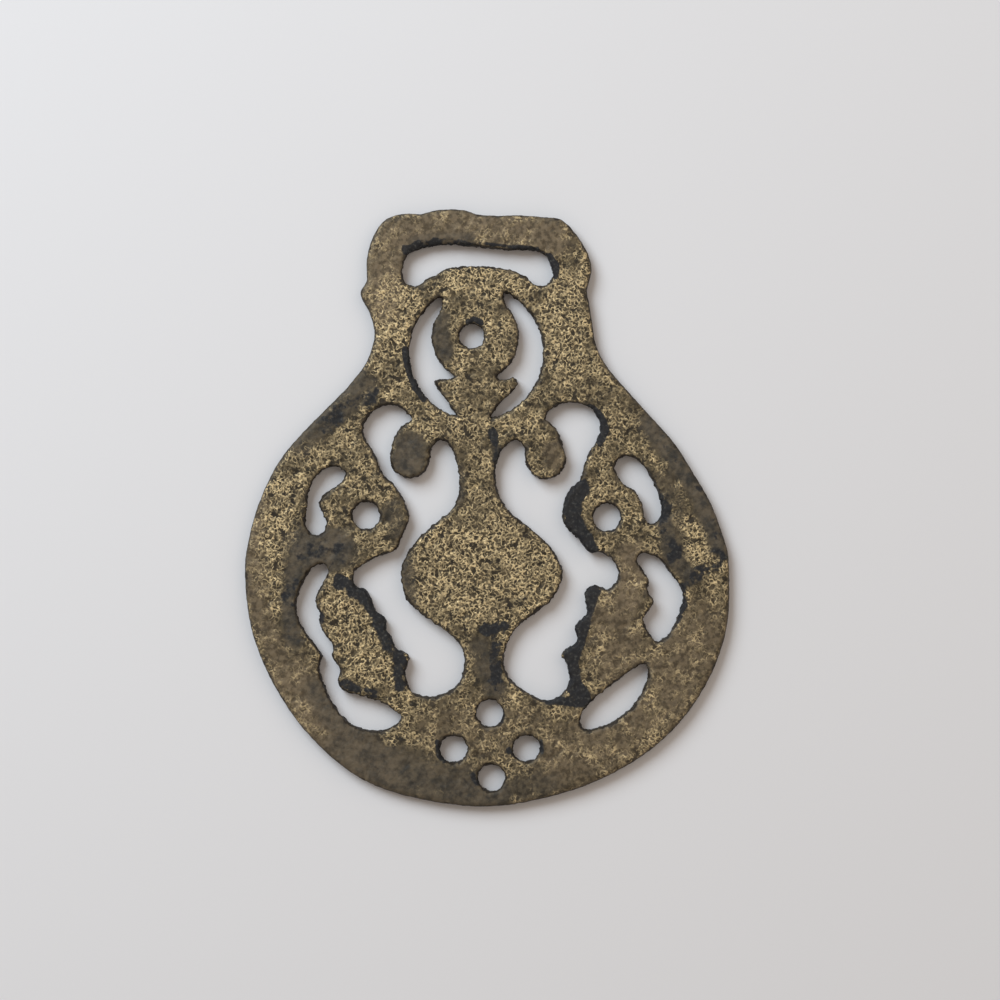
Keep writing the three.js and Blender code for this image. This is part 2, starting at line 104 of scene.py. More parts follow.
# The strokes of patina, in the plate's own frame
PATCHES = (
    # Painted shade: the slot's upper wall faces away from the light, so this black stroke is partly deposit
    # and partly painted shade
    Patch(
        Patina.SOOT,
        "slot, upper wall",
        ((-12.2, 38.7), (-10.1, 39.6), (-7.7, 39.9), (-3.8, 39.7)),
        0.8,
        0.65,
    ),
    # Painted shade: partly deposit, partly the painted shade of the slot's upper wall
    Patch(Patina.SOOT, "slot, upper wall's right", ((-3.8, 39.8), (0.5, 39.5), (7.5, 38.9)), 0.35, 0.6),
    Patch(Patina.SOOT, "slot, right end", ((9.3, 37.6), (10.3, 36.3), (10.2, 34.8)), 0.6, 0.9),
    # Painted shade: the ring window's left wall faces away from the light; this black stroke is partly
    # deposit and partly painted shade
    Patch(
        Patina.SOOT,
        "ring window, left wall",
        ((-12.3, 23.8), (-12.2, 22.2), (-11.7, 20.4), (-10.8, 18.0), (-9.5, 16.2)),
        0.5,
        0.95,
    ),
    # Painted shade: the hole's top wall faces away from the light; this black stroke is partly deposit and
    # partly painted shade
    Patch(Patina.SOOT, "hole of the inner disc", ((-3.0, 27.9), (-2.0, 28.4), (-0.9, 27.9)), 0.4, 0.9),
    Patch(Patina.SOOT, "right hook", ((15.4, 15.0), (17.2, 13.6), (17.7, 11.7), (16.9, 9.7)), 0.6, 0.9),
    Patch(
        Patina.SOOT,
        "right beak",
        ((14.1, 3.0), (12.9, 1.2), (12.7, -1.4), (13.9, -3.9), (15.4, -6.0)),
        1.4,
        1.0,
    ),
    Patch(Patina.SOOT, "right eye", ((19.8, -0.8), (19.6, -2.1), (18.9, -3.2)), 0.4, 0.8),
    Patch(
        Patina.SOOT,
        "right breast",
        ((15.6, -12.6), (14.4, -16.5), (13.5, -19.8), (12.6, -22.8), (12.9, -26.4), (14.4, -28.5)),
        1.3,
        1.0,
    ),
    Patch(Patina.SOOT, "foot of the right window", ((9.1, -28.7), (11.8, -29.1), (15.1, -29.1)), 0.9, 0.8),
    Patch(Patina.SOOT, "left wing, core", ((-22.1, -11.1), (-20.3, -12.0), (-18.5, -13.5)), 1.2, 0.9),
    Patch(Patina.SOOT, "left back", ((-18.2, -13.4), (-16.9, -15.5), (-16.0, -17.5)), 1.3, 0.85),
    Patch(
        Patina.SOOT,
        "left tail",
        ((-16.0, -17.5), (-15.2, -20.2), (-13.3, -22.4), (-12.9, -24.6), (-12.9, -26.4)),
        1.3,
        0.62,
    ),
    Patch(Patina.SOOT, "left tail's lower edge", ((-21.3, -26.3), (-19.7, -27.3), (-17.0, -27.9)), 0.9, 0.6),
    Patch(Patina.SOOT, "left rim", ((-28.0, -6.4), (-22.8, -6.2)), 2.6, 0.46),
    Patch(Patina.SOOT, "left rim, below", ((-28.7, -9.0), (-29.7, -13.8)), 1.6, 0.4),
    Patch(Patina.SOOT, "right shoulder", ((24.8, 12.0), (31.9, 2.7), (35.0, -5.0)), 0.9, 0.4),
    Patch(Patina.SOOT, "left front", ((-24.8, -12.0), (-25.5, -14.4), (-24.8, -17.1)), 0.6, 0.4),
    Patch(Patina.SOOT, "below the vase", ((-0.3, -18.2), (2.4, -17.9)), 1.1, 0.7),
    Patch(
        Patina.SOOT,
        "stem of the foot",
        ((2.0, -18.6), (1.1, -21.5), (1.2, -24.5), (1.9, -27.2)),
        1.3,
        0.55,
    ),
    Patch(Patina.SOOT, "stem of the vase", ((0.7, 11.4), (1.5, 8.4), (1.3, 4.5)), 0.8, 0.6),
    Patch(Patina.SOOT, "right rim, upper", ((26.2, 1.2), (26.8, -3.3), (28.3, -7.2)), 1.7, 0.55),
    Patch(Patina.SOOT, "right rim, lower", ((30.4, -10.4), (32.8, -9.3), (34.6, -7.2)), 1.5, 0.55),
    Patch(Patina.SOOT, "right middle window", ((29.2, -11.7), (29.5, -14.4), (28.5, -17.1)), 0.6, 0.6),
    Patch(Patina.SOOT, "right upper window", ((23.4, 6.3), (25.0, 3.3), (26.1, 0.3)), 0.4, 0.55),
    Patch(Patina.SOOT, "left shoulder", ((-24.6, 12.6), (-17.3, 16.8)), 1.7, 0.5),
    Patch(Patina.SOOT, "first drop", ((1.9, -32.1), (2.4, -30.6)), 0.4, 0.7),
    Patch(Patina.SOOT, "second drop", ((-7.5, -35.0), (-7.4, -37.1), (-6.5, -38.1)), 0.4, 0.7),
    Patch(Patina.SOOT, "third drop", ((8.1, -35.1), (8.2, -36.6)), 0.4, 0.7),
    Patch(Patina.SOOT, "third drop, left", ((3.1, -36.3), (3.9, -37.4)), 0.5, 0.6),
    Patch(Patina.SOOT, "fourth drop", ((-2.3, -40.1), (-1.5, -41.3)), 0.6, 0.7),
    Patch(Patina.GILDING, "neck, left", ((-14.6, 31.2), (-12.9, 26.9)), 3.6, 1.0),
    Patch(Patina.GILDING, "neck, right", ((11.8, 33.4), (11.8, 23.7)), 2.5, 0.8),
    Patch(Patina.GILDING, "arch over the ring", ((-4.8, 33.9), (1.9, 34.2)), 2.2, 0.8),
    Patch(Patina.GILDING, "vase", ((-5.6, -9.6), (4.9, -9.6)), 6.3, 0.9),
    Patch(Patina.GILDING, "left bird", ((-21.3, -13.5), (-17.9, -23.6)), 3.3, 1.0),
    Patch(Patina.GILDING, "left rim", ((-32.3, 1.2), (-31.1, -7.8), (-31.4, -13.8)), 2.4, 0.7),
    Patch(Patina.GILDING, "right rim", ((30.4, -3.0), (31.9, -7.8)), 1.9, 0.7),
    Patch(Patina.DULL, "left rim", ((-27.3, -6.0), (-25.4, -7.2), (-22.8, -6.0)), 3.0, 1.0),
    Patch(Patina.DULL, "left rim, below", ((-28.7, -9.0), (-29.7, -13.8), (-29.0, -19.8)), 1.3, 0.9),
    Patch(Patina.DULL, "left shoulder", ((-28.1, 10.2), (-21.3, 16.2), (-18.8, 18.0)), 2.1, 0.7),
    Patch(Patina.DULL, "left eye", ((-14.3, -0.3), (-13.4, -3.3)), 1.5, 0.5),
    Patch(Patina.DULL, "foot of the rim", ((-20.6, -36.6), (-8.6, -41.6), (0.4, -43.1)), 3.6, 0.8),
    Patch(Patina.DULL, "lower right foot", ((0.4, -42.6), (8.7, -41.8)), 2.4, 0.5),
    Patch(Patina.SMOOTH, "lower right rim", ((12.0, -37.5), (24.5, -30.0), (31.5, -19.0)), 5.0, 0.6),
    Patch(
        Patina.SMOOTH,
        "left rim, outside",
        ((-34.7, 2.0), (-35.2, -8.0), (-34.0, -16.0), (-30.5, -24.5)),
        1.7,
        0.6,
    ),
    Patch(Patina.SMOOTH, "lower left rim", ((-29.6, -25.8), (-23.6, -34.1), (-16.1, -40.1)), 3.5, 0.75),
    Patch(Patina.SMOOTH, "between the drops", ((-6.0, -33.5), (6.0, -33.5)), 4.5, 0.35),
    Patch(Patina.SMOOTH, "right bird", ((18.6, -15.3), (19.8, -23.6)), 3.6, 0.65),
    Patch(Patina.SMOOTH, "right bird's neck", ((21.7, -7.2), (21.1, -13.8)), 2.1, 0.9),
    Patch(Patina.SMOOTH, "right scroll", ((11.0, 8.4), (11.6, 6.6)), 2.4, 0.6),
    Patch(
        Patina.SMOOTH,
        "loop",
        ((-15.9, 30.0), (-15.3, 36.0), (-14.0, 40.5), (-7.1, 42.3), (4.5, 41.6), (10.0, 40.2)),
        2.5,
        0.75,
    ),
    Patch(Patina.DULL, "right shoulder's edge", ((24.6, 12.6), (31.9, 2.7), (35.2, -5.6)), 1.8, 1.0),
    Patch(Patina.DULL, "right rim, upper", ((27.1, 4.2), (27.7, -1.8), (28.3, -7.8)), 2.2, 0.42),
    Patch(Patina.DULL, "inner disc, left", ((-6.9, 28.4), (-7.2, 25.6), (-6.4, 23.2)), 1.3, 0.75),
    Patch(Patina.DULL, "right rim, inside", ((26.2, -0.3), (27.7, -7.2), (30.4, -10.2)), 1.3, 0.8),
    Patch(Patina.DULL, "left lower crescent", ((-25.4, -27.3), (-23.3, -31.2), (-19.8, -34.1)), 1.8, 0.8),
    # Painted shade: this grey stroke darkens the slope above the slot's upper wall, partly patina and partly
    # painted shade
    Patch(Patina.DULL, "slot, upper wall", ((-10.8, 40.2), (-2.6, 40.5)), 0.8, 0.6),
    Patch(Patina.DULL, "left scroll", ((-11.9, 6.9), (-11.6, 9.0)), 2.4, 1.0),
    Patch(Patina.DULL, "left of the vase", ((-11.9, -7.8), (-12.0, -10.8), (-11.3, -13.8)), 1.1, 0.7),
    Patch(Patina.DULL, "stem of the vase", ((-4.1, 5.7), (-4.1, 1.2)), 0.8, 0.5),
    Patch(Patina.DULL, "right of the stem", ((1.5, 8.7), (2.2, 1.9)), 0.9, 0.6),
    Patch(Patina.DULL, "stem of the foot", ((-1.1, -21.3), (1.3, -27.3)), 1.8, 0.7),
    Patch(Patina.WORN, "slot, upper wall", ((-10.4, 39.6), (-5.9, 40.5)), 1.4, 1.0),
)


@dataclass(frozen=True)
class CastingSizes:
    """Sizes of the casting's skin.

    Args:
        thickness: from the flat back to the front
        rim_drop: how far the front's outer edge falls to the wall
        rim_reach: how wide that rounded edge is
        window_drop: how far the front's edge falls round the windows
        window_reach: how wide that rounded edge is
        worn_share: how much wider the rounded edge is where it is worn most
        back_drop: how high the back's rounded edge rises to the wall
        back_reach: how wide the back's rounded edge is
        wall_step: distance between the points round each opening
        front_step: distance between the points of the front
        back_step: distance between the points of the back
        wall_rows: rows of faces from the front's edge down to the back's
        smoothing: length over which the outline's facets are evened out
    """

    thickness: float = 2.2
    rim_drop: float = 0.55
    rim_reach: float = 0.85
    window_drop: float = 0.4
    window_reach: float = 0.5
    worn_share: float = 1.3
    back_drop: float = 0.22
    back_reach: float = 0.4
    wall_step: float = 0.23
    front_step: float = 0.26
    back_step: float = 0.9
    wall_rows: int = 4
    smoothing: float = 0.22


@dataclass(frozen=True)
class ReliefSizes:
    """Heights and periods of the cast and corroded relief.

    Args:
        grain_period: distance between the small ridges of the skin
        grain_height: height of those ridges
        pit_period: distance between pits
        pit_depth: depth of the pits
        swell_period: length of the slow rises and falls of the front
        swell_height: height of those
        ragged_period: distance between bumps along the walls
        ragged_depth: how far the windows' walls stray from their outline
        rim_share: how ragged the outer edge is beside the windows
        seed: place in the noise that the relief is taken from
    """

    grain_period: float = 1.15
    grain_height: float = 0.055
    pit_period: float = 2.1
    pit_depth: float = 0.12
    swell_period: float = 9.0
    swell_height: float = 0.16
    ragged_period: float = 0.78
    ragged_depth: float = 0.6
    rim_share: float = 0.22
    seed: float = 3.0


@dataclass(frozen=True)
class BrassFinish:
    """Colours and gloss of the old brass.

    Args:
        deep: bottom of the grain
        body: the patina between the flecks
        clump: small dark spots between the flecks
        brown: the smooth brown patina with few flecks
        brown_pale: its paler spots
        dull_dark: the darker spots of the smooth grey patina, which has no flecks
        dull_pale: its paler spots
        wall: the dark walls, their black patina together with painted shade
        gold: the worn flecks
        soot_and_shade: the blue-black deposits, and the painted shade of a few walls turned away from the
            light
        soot_pale: their paler spots
        body_roughness: roughness of the patina
        gold_roughness: roughness of the flecks
        soot_roughness: roughness of the deposits
        body_metallic: how much of the patina shines as metal; the deposits don't
        gold_metallic: how much more of the flecks does
        specular: strength of the gloss
        soot_hides: how much of the flecks a deposit hides
        gold_lift: how far the flecks stand out in the bumps, as a share of the fine unevenness
        bump_strength: strength of the bumps
        bump_height: their height
    """

    deep: tuple[float, float, float] = (0.026, 0.019, 0.009)
    body: tuple[float, float, float] = (0.092, 0.069, 0.037)
    clump: tuple[float, float, float] = (0.016, 0.012, 0.007)
    brown: tuple[float, float, float] = (0.095, 0.070, 0.041)
    brown_pale: tuple[float, float, float] = (0.186, 0.140, 0.087)
    dull_dark: tuple[float, float, float] = (0.031, 0.029, 0.025)
    dull_pale: tuple[float, float, float] = (0.118, 0.094, 0.064)
    # Painted shade in part: the walls' colour is their black patina together with the shade they stand in
    wall: tuple[float, float, float] = (0.030, 0.023, 0.016)
    gold: tuple[float, float, float] = (0.72, 0.56, 0.31)
    # Painted shade in part: this blue-black also paints the shade of a few walls turned away from the light
    soot_and_shade: tuple[float, float, float] = (0.009, 0.010, 0.013)
    soot_pale: tuple[float, float, float] = (0.058, 0.058, 0.053)
    body_roughness: float = 0.62
    gold_roughness: float = 0.42
    soot_roughness: float = 0.7
    body_metallic: float = 0.12
    gold_metallic: float = 0.3
    specular: float = 0.3
    soot_hides: float = 0.9
    gold_lift: float = 0.5
    bump_strength: float = 0.8
    bump_height: float = 0.1


@dataclass(frozen=True)
class Pattern:
    """A noise pattern on the brass.

    Args:
        period: distance between its features
        seed: fourth coordinate of the noise
        detail: how many finer layers are added
        roughness: how strong those are
    """

    period: float
    seed: float
    detail: float = 3.0
    roughness: float = 0.6


@dataclass(frozen=True)
class BrassPatterns:
    """Noise patterns of the finish. A band holds the values between which a thing sets in.

    Args:
        roughening: fine unevenness that the light catches on
        worm_band: how far the grain's noise is from its middle within and beside a large winding fleck
        worm_strength: brightness of those flecks beside the small ones
        curls: the small winding flecks
        curl_band: how far their noise is from its middle within and beside them
        glints: brighter and darker stretches of the flecks
        glint_band: values of that noise where a stretch is dark and bright
        glint_least: brightness of the dark stretches
        glint_gain: how much brighter the bright ones are
        cover: places with many and with few flecks
        cover_band: values at which there are none and all of them
        cover_by_gilding: what gilding adds to that value
        cover_by_dull: what the smooth grey patina adds to it
        cover_by_smooth: what the smooth brown patina adds to it
        edge: how a border along an edge wavers
        edge_sway: how far it does, from its nearest place to its furthest
        bare_edge_band: distances from the edge at which the flecks start and are whole
        dull_edge_band: distances from the edge at which the grey border has ended and is whole
        dull_edge_share: strength of that grey border
        dull_share: how far the grey patina covers the brown
        clumps: small dark spots between the flecks
        clump_band: values at which they start and are whole
        clump_share: how dark they are
        mottle: lighter and darker patina
        mottle_band: values at which it is dark and light
        brown_band: the same for the smooth brown patina
        blotch: lighter and darker grey patina
        blotch_band: values at which it is dark and light
        fringe: where a dark line runs along an edge
        fringe_middle: value at which that line lies on the edge
        fringe_sway: how far it strays from there
        fringe_band: strayed distances at which the line has ended and is whole
        wall_band: distances from the edge at which the dark of the walls, patina and painted shade, has ended
            and is whole
        deposit: how a deposit's border wavers, and that of the painted shade laid with the deposits
        deposit_sway: how far it does
        deposit_band: amounts at which a deposit starts and is whole
        deposit_share: how far a deposit covers what is under it
        specks: paler spots of the deposits
        speck_band: values at which they start and are whole
    """

    roughening: Pattern = Pattern(0.42, 5.0)
    worm_band: tuple[float, float] = (0.0, 0.045)
    worm_strength: float = 0.55
    curls: Pattern = Pattern(0.58, 31.0, 1.0, 0.5)
    curl_band: tuple[float, float] = (0.018, 0.085)
    glints: Pattern = Pattern(0.36, 47.0, 1.0, 0.5)
    glint_band: tuple[float, float] = (0.34, 0.64)
    glint_least: float = 0.3
    glint_gain: float = 0.75
    cover: Pattern = Pattern(2.6, 37.0, 4.0, 0.62)
    cover_band: tuple[float, float] = (0.29, 0.67)
    cover_by_gilding: float = 0.16
    cover_by_dull: float = -0.34
    cover_by_smooth: float = -0.17
    edge: Pattern = Pattern(1.7, 29.0)
    edge_sway: float = 1.1
    bare_edge_band: tuple[float, float] = (0.0, 0.3)
    dull_edge_band: tuple[float, float] = (0.5, 0.1)
    dull_edge_share: float = 0.8
    dull_share: float = 0.9
    clumps: Pattern = Pattern(1.25, 53.0)
    clump_band: tuple[float, float] = (0.56, 0.64)
    clump_share: float = 0.8
    mottle: Pattern = Pattern(0.8, 43.0)
    mottle_band: tuple[float, float] = (0.4, 0.58)
    brown_band: tuple[float, float] = (0.4, 0.6)
    blotch: Pattern = Pattern(1.6, 61.0, 5.0, 0.7)
    blotch_band: tuple[float, float] = (0.36, 0.64)
    fringe: Pattern = Pattern(1.3, 59.0)
    fringe_middle: float = 0.47
    fringe_sway: float = 2.2
    fringe_band: tuple[float, float] = (0.2, 0.0)
    # Painted shade in part: how far the walls' dark, patina and shade, reaches onto the front's edge
    wall_band: tuple[float, float] = (0.13, 0.04)
    deposit: Pattern = Pattern(1.5, 23.0, 4.0)
    deposit_sway: float = 1.6
    deposit_band: tuple[float, float] = (0.42, 0.62)
    deposit_share: float = 0.93
    specks: Pattern = Pattern(0.45, 67.0)
    speck_band: tuple[float, float] = (0.5, 0.74)


@dataclass(frozen=True)
class AreaLight:
    """A round light that is turned to the origin.

    Args:
        name: the light's name
        place: where it hangs
        width: its diameter
        power: its power in watts
        colour: its colour
    """

    name: str
    place: tuple[float, float, float]
    width: float
    power: float
    colour: tuple[float, float, float]


@dataclass(frozen=True)
class StudioSizes:
    """Camera, lights and table.

    Args:
        aim: where the camera looks straight down at, on the front
        camera_height: from the table to the camera
        frame_width: width of the picture at the front's height
        nearest: distance from which the camera sees things
        floor_width: side of the square table
        floor_colour: colour of the table
        floor_roughness: roughness of the table
        floor_specular: strength of its gloss
        lights: the cool light on the upper left and the warm one on the upper right
        room_colour: colour of the room's even light
        room_strength: strength of that light
    """

    aim: tuple[float, float] = (1.92, 1.18)
    camera_height: float = 400.0
    frame_width: float = 150.0
    nearest: float = 10.0
    floor_width: float = 1600.0
    floor_colour: tuple[float, float, float] = (0.70, 0.695, 0.705)
    floor_roughness: float = 0.9
    floor_specular: float = 0.2
    lights: tuple[AreaLight, ...] = (
        AreaLight("key light", (-345.0, 395.0, 475.0), 470.0, 4.9, (0.80, 0.9, 0.985)),
        AreaLight("sky light", (460.0, 330.0, 640.0), 900.0, 1.2, (1.0, 0.88, 0.77)),
    )
    room_colour: tuple[float, float, float] = (1.0, 0.87, 0.755)
    room_strength: float = 0.41


class TreeWriter:
    """Adds nodes to a node tree, with their inputs given by value or by the socket they come from.

    Args:
        tree: the shader or geometry tree to write into
    """

    def __init__(self, tree: bpy.types.NodeTree) -> None:
        self.tree = tree

    def add(self, kind: str, *inputs: object, **settings: object) -> bpy.types.Node:
        """Adds a node.

        Args:
            kind: the node's type
            inputs: values or sockets for its inputs in order; None leaves one as it is
            settings: the node's own settings
        Returns:
            the node
        """
        node = self.tree.nodes.new(kind)
        for name, value in settings.items():
            setattr(node, name, value)
        sockets = [socket for socket in node.inputs if socket.enabled]
        for socket, value in zip(sockets, inputs):
            self.feed(socket, value)
        return node

    def feed(self, socket: bpy.types.NodeSocket, value: object) -> None:
        """Links a socket to another, or sets its value.

        Args:
            socket: the input
            value: the output that feeds it, or a plain value
        """
        if isinstance(value, bpy.types.NodeSocket):
            self.tree.links.new(value, socket)
        elif value is not None:
            socket.default_value = value

    def math(self, operation: str, *values: object) -> bpy.types.NodeSocket:
        """Adds a math node and returns its output."""
        return self.add("ShaderNodeMath", *values, operation=operation).outputs[0]

    def total(self, *values: object) -> bpy.types.NodeSocket:
        """Adds values up.

        Args:
            values: numbers or sockets
        Returns:
            their sum
        """
        result = values[0]
        for value in values[1:]:
            result = self.math("ADD", result, value)
        return result

    def product(self, *values: object) -> bpy.types.NodeSocket:
        """Multiplies values.

        Args:
            values: numbers or sockets
        Returns:
            their product
        """
        result = values[0]
        for value in values[1:]:
            result = self.math("MULTIPLY", result, value)
        return result

    def step(self, value: object, low: float, high: float) -> bpy.types.NodeSocket:
        """Smooth step up from 0 to 1, or down from 1 to 0 where low is the greater.

        Args:
            value: the socket that is judged
            low: value at which the step is 0
            high: value at which it is 1
        Returns:
            the step, from 0 to 1
        """
        if low > high:
            return self.math("SUBTRACT", 1.0, self.step(value, high, low))
        node = self.add("ShaderNodeMapRange", value, low, high, 0.0, 1.0, interpolation_type="SMOOTHSTEP")
        return node.outputs[0]

    def noise(
        self,
        place: bpy.types.NodeSocket,
        period: object,
        seed: object,
        detail: float = 2.0,
        roughness: float = 0.5,
    ) -> bpy.types.Node:
        """Adds a noise texture of the given period in millimetres.

        Args:
            place: position in metres
            period: distance between its features, as a number or a socket
            seed: fourth coordinate of the noise
            detail: how many finer layers are added
            roughness: how strong those are
        Returns:
            the node, whose outputs are the value and the vector
        """
        given_by_socket = isinstance(period, bpy.types.NodeSocket)
        scale = self.math("DIVIDE", 1.0 / MM, period) if given_by_socket else 1.0 / MM / period
        return self.add(
            "ShaderNodeTexNoise", place, seed, scale, detail, roughness, noise_dimensions="4D"
        )

    def pattern(self, place: bpy.types.NodeSocket, pattern: Pattern) -> bpy.types.NodeSocket:
        """Adds a noise pattern.

        Args:
            place: position in metres
            pattern: the pattern
        Returns:
            its value at each place
        """
        node = self.noise(place, pattern.period, pattern.seed, pattern.detail, pattern.roughness)
        return node.outputs[0]

    def ridges(self, noise: bpy.types.NodeSocket, inner: float, outer: float) -> bpy.types.NodeSocket:
        """Thin winding lines along which a noise passes its middle value.

        Args:
            noise: the noise
            inner: how far it may be from its middle for a whole line
            outer: how far it is where the line has ended
        Returns:
            1 on the lines and 0 between them
        """
        away = self.math("ABSOLUTE", self.math("SUBTRACT", noise, NOISE_MIDDLE))
        return self.step(away, outer, inner)


class CastOutlines:
    """The plate's outlines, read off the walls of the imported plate. The metal is on each outline's left.

    Args:
        node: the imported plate
        sizes: sizes of the casting's skin
    """

    # Heights closer than this are the same
    LEVEL = 0.05
    # Spacing of the points that are evened out, and of those that distances are taken to, in wall steps
    EVENING_STEP = 1 / 4
    DISTANCE_STEP = 1 / 8
    # How far a point is evened out with its neighbours, in smoothing lengths
    EVENING_REACH = 3
    FEWEST_POINTS = 8

    def __init__(self, node: bpy.types.Object, sizes: CastingSizes) -> None:
        self.sizes = sizes
        # The widest outline, the outer edge, comes first
        loops = [self._evened(loop) for loop in self._wall_loops(node)]
        self.loops = sorted(loops, key=lambda loop: -np.ptp(loop[:, 0]))

    def _wall_loops(self, node: bpy.types.Object) -> list[np.ndarray]:
        """Follows the upper edge of the walls round each outline.

        Args:
            node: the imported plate
        Returns:
            the points of each outline, in order
        """
        mesh = node.data
        mesh.calc_loop_triangles()
        corners = np.empty(len(mesh.loop_triangles) * 3, np.int32)
        mesh.loop_triangles.foreach_get("vertices", corners)
        places = np.empty(len(mesh.vertices) * 3, np.float32)
        mesh.vertices.foreach_get("co", places)
        rounded = np.round(places.reshape(-1, 3) / MM, 3)
        points, merged = np.unique(rounded, axis=0, return_inverse=True)
        triangles = merged.reshape(-1)[corners].reshape(-1, 3)
        # The flat back and front are the lowest and highest level, so the walls run between the next two
        heights = np.unique(np.round(points[:, 2], 1))
        low, high = heights[1], heights[-2]
        following: dict[int, int] = {}
        for triangle in triangles:
            for k in range(3):
                start, end, third = triangle[k], triangle[(k + 1) % 3], triangle[(k + 2) % 3]
                on_top = abs(points[[start, end], 2] - high).max() < self.LEVEL
                if on_top and abs(points[third, 2] - low) < self.LEVEL:
                    following[int(end)] = int(start)
        loops = []
        while following:
            first, current = following.popitem()
            loop = [first]
            while current != first:
                loop.append(current)
                current = following.pop(current)
            loops.append(points[loop, :2].astype(float))
        return loops

    def _evened(self, loop: np.ndarray) -> np.ndarray:
        """Evens out an outline's facets and spaces its points equally.

        Args:
            loop: the outline
        Returns:
            the outline with points about one wall step apart
        """
        fine = self._respaced(loop, self.sizes.wall_step * self.EVENING_STEP)
        step = np.linalg.norm(fine - np.roll(fine, 1, axis=0), axis=1).mean()
        reach = max(1, int(self.EVENING_REACH * self.sizes.smoothing / step))
        offsets = np.arange(-reach, reach + 1)
        weights = np.exp(-0.5 * (offsets * step / self.sizes.smoothing) ** 2)
        weights /= weights.sum()
        smooth = sum(weight * np.roll(fine, offset, axis=0) for weight, offset in zip(weights, offsets))
        return self._respaced(smooth, self.sizes.wall_step)

    @classmethod
    def _respaced(cls, loop: np.ndarray, step: float) -> np.ndarray:
        """Puts points on a closed line at equal distances.

        Args:
            loop: the line's points
            step: about how far apart the new points are
        Returns:
            the new points
        """
        closed = np.vstack([loop, loop[:1]])
        along = np.concatenate([[0.0], np.cumsum(np.linalg.norm(np.diff(closed, axis=0), axis=1))])
        count = max(cls.FEWEST_POINTS, round(along[-1] / step))
        wanted = np.arange(count) * along[-1] / count
        return np.column_stack([np.interp(wanted, along, closed[:, axis]) for axis in (0, 1)])

    @staticmethod
    def inward(loop: np.ndarray) -> np.ndarray:
        """Direction from each of an outline's points into the metal.

        Args:
            loop: the outline
        Returns:
            one vector of length 1 for each point
        """
        tangent = np.roll(loop, -1, axis=0) - np.roll(loop, 1, axis=0)
        tangent /= np.linalg.norm(tangent, axis=1)[:, None]
        return np.column_stack([-tangent[:, 1], tangent[:, 0]])

    def crossings(self, height: float) -> np.ndarray:
        """Finds where a line of constant Y enters and leaves the metal.

        Args:
            height: the line's Y
        Returns:
            the X of each place, in order
        """
        found = []
        for loop in self.loops:
            after = np.roll(loop, -1, axis=0)
            over = (loop[:, 1] > height) != (after[:, 1] > height)
            share = (height - loop[over, 1]) / (after[over, 1] - loop[over, 1])
            found.append(loop[over, 0] + share * (after[over, 0] - loop[over, 0]))
        return np.sort(np.concatenate(found))

    def holds(self, points: np.ndarray) -> np.ndarray:
        """Tells whether each point is in the metal.

        Args:
            points: the points
        Returns:
            one truth value for each point
        """
        inside = np.zeros(len(points), bool)
        for loop in self.loops:
            for start, end in zip(loop, np.roll(loop, -1, axis=0)):
                level = (start[1] > points[:, 1]) != (end[1] > points[:, 1])
                if level.any():
                    share = (points[level, 1] - start[1]) / (end[1] - start[1])
                    inside[level] ^= points[level, 0] < start[0] + share * (end[0] - start[0])
        return inside

    def distances(self, points: np.ndarray, loops: list[np.ndarray] | None = None) -> np.ndarray:
        """Distance of each point to the nearest outline.

        Args:
            points: the points
            loops: the outlines, or none for all of them
        Returns:
            one distance for each point
        """
        step = self.sizes.wall_step * self.DISTANCE_STEP
        dense = np.vstack([self._respaced(loop, step) for loop in loops or self.loops])
        tree = KDTree(len(dense))
        for k, (x, y) in enumerate(dense):
            tree.insert((x, y, 0.0), k)
        tree.balance()
        return np.array([tree.find((x, y, 0.0))[2] for x, y in points])


@dataclass
class SkinMesh:
    """Points, faces and edge distances of the skin while it is put together.

    Args:
        points: the points, in the order in which they were added
        faces: the faces, as numbers of points
        distances: each point's distance to the nearest edge
        count: how many points there are
    """

    points: list[np.ndarray] = field(default_factory=list)
    faces: list[tuple[int, ...]] = field(default_factory=list)
    distances: list[np.ndarray] = field(default_factory=list)
    count: int = 0

    def extend(self, points: np.ndarray, distances: np.ndarray) -> int:
        """Adds points.

        Args:
            points: the points
            distances: their distances to the nearest edge
        Returns:
            the number of the first one
        """
        start = self.count
        self.points.append(points)
        self.distances.append(distances)
        self.count += len(points)
        return start


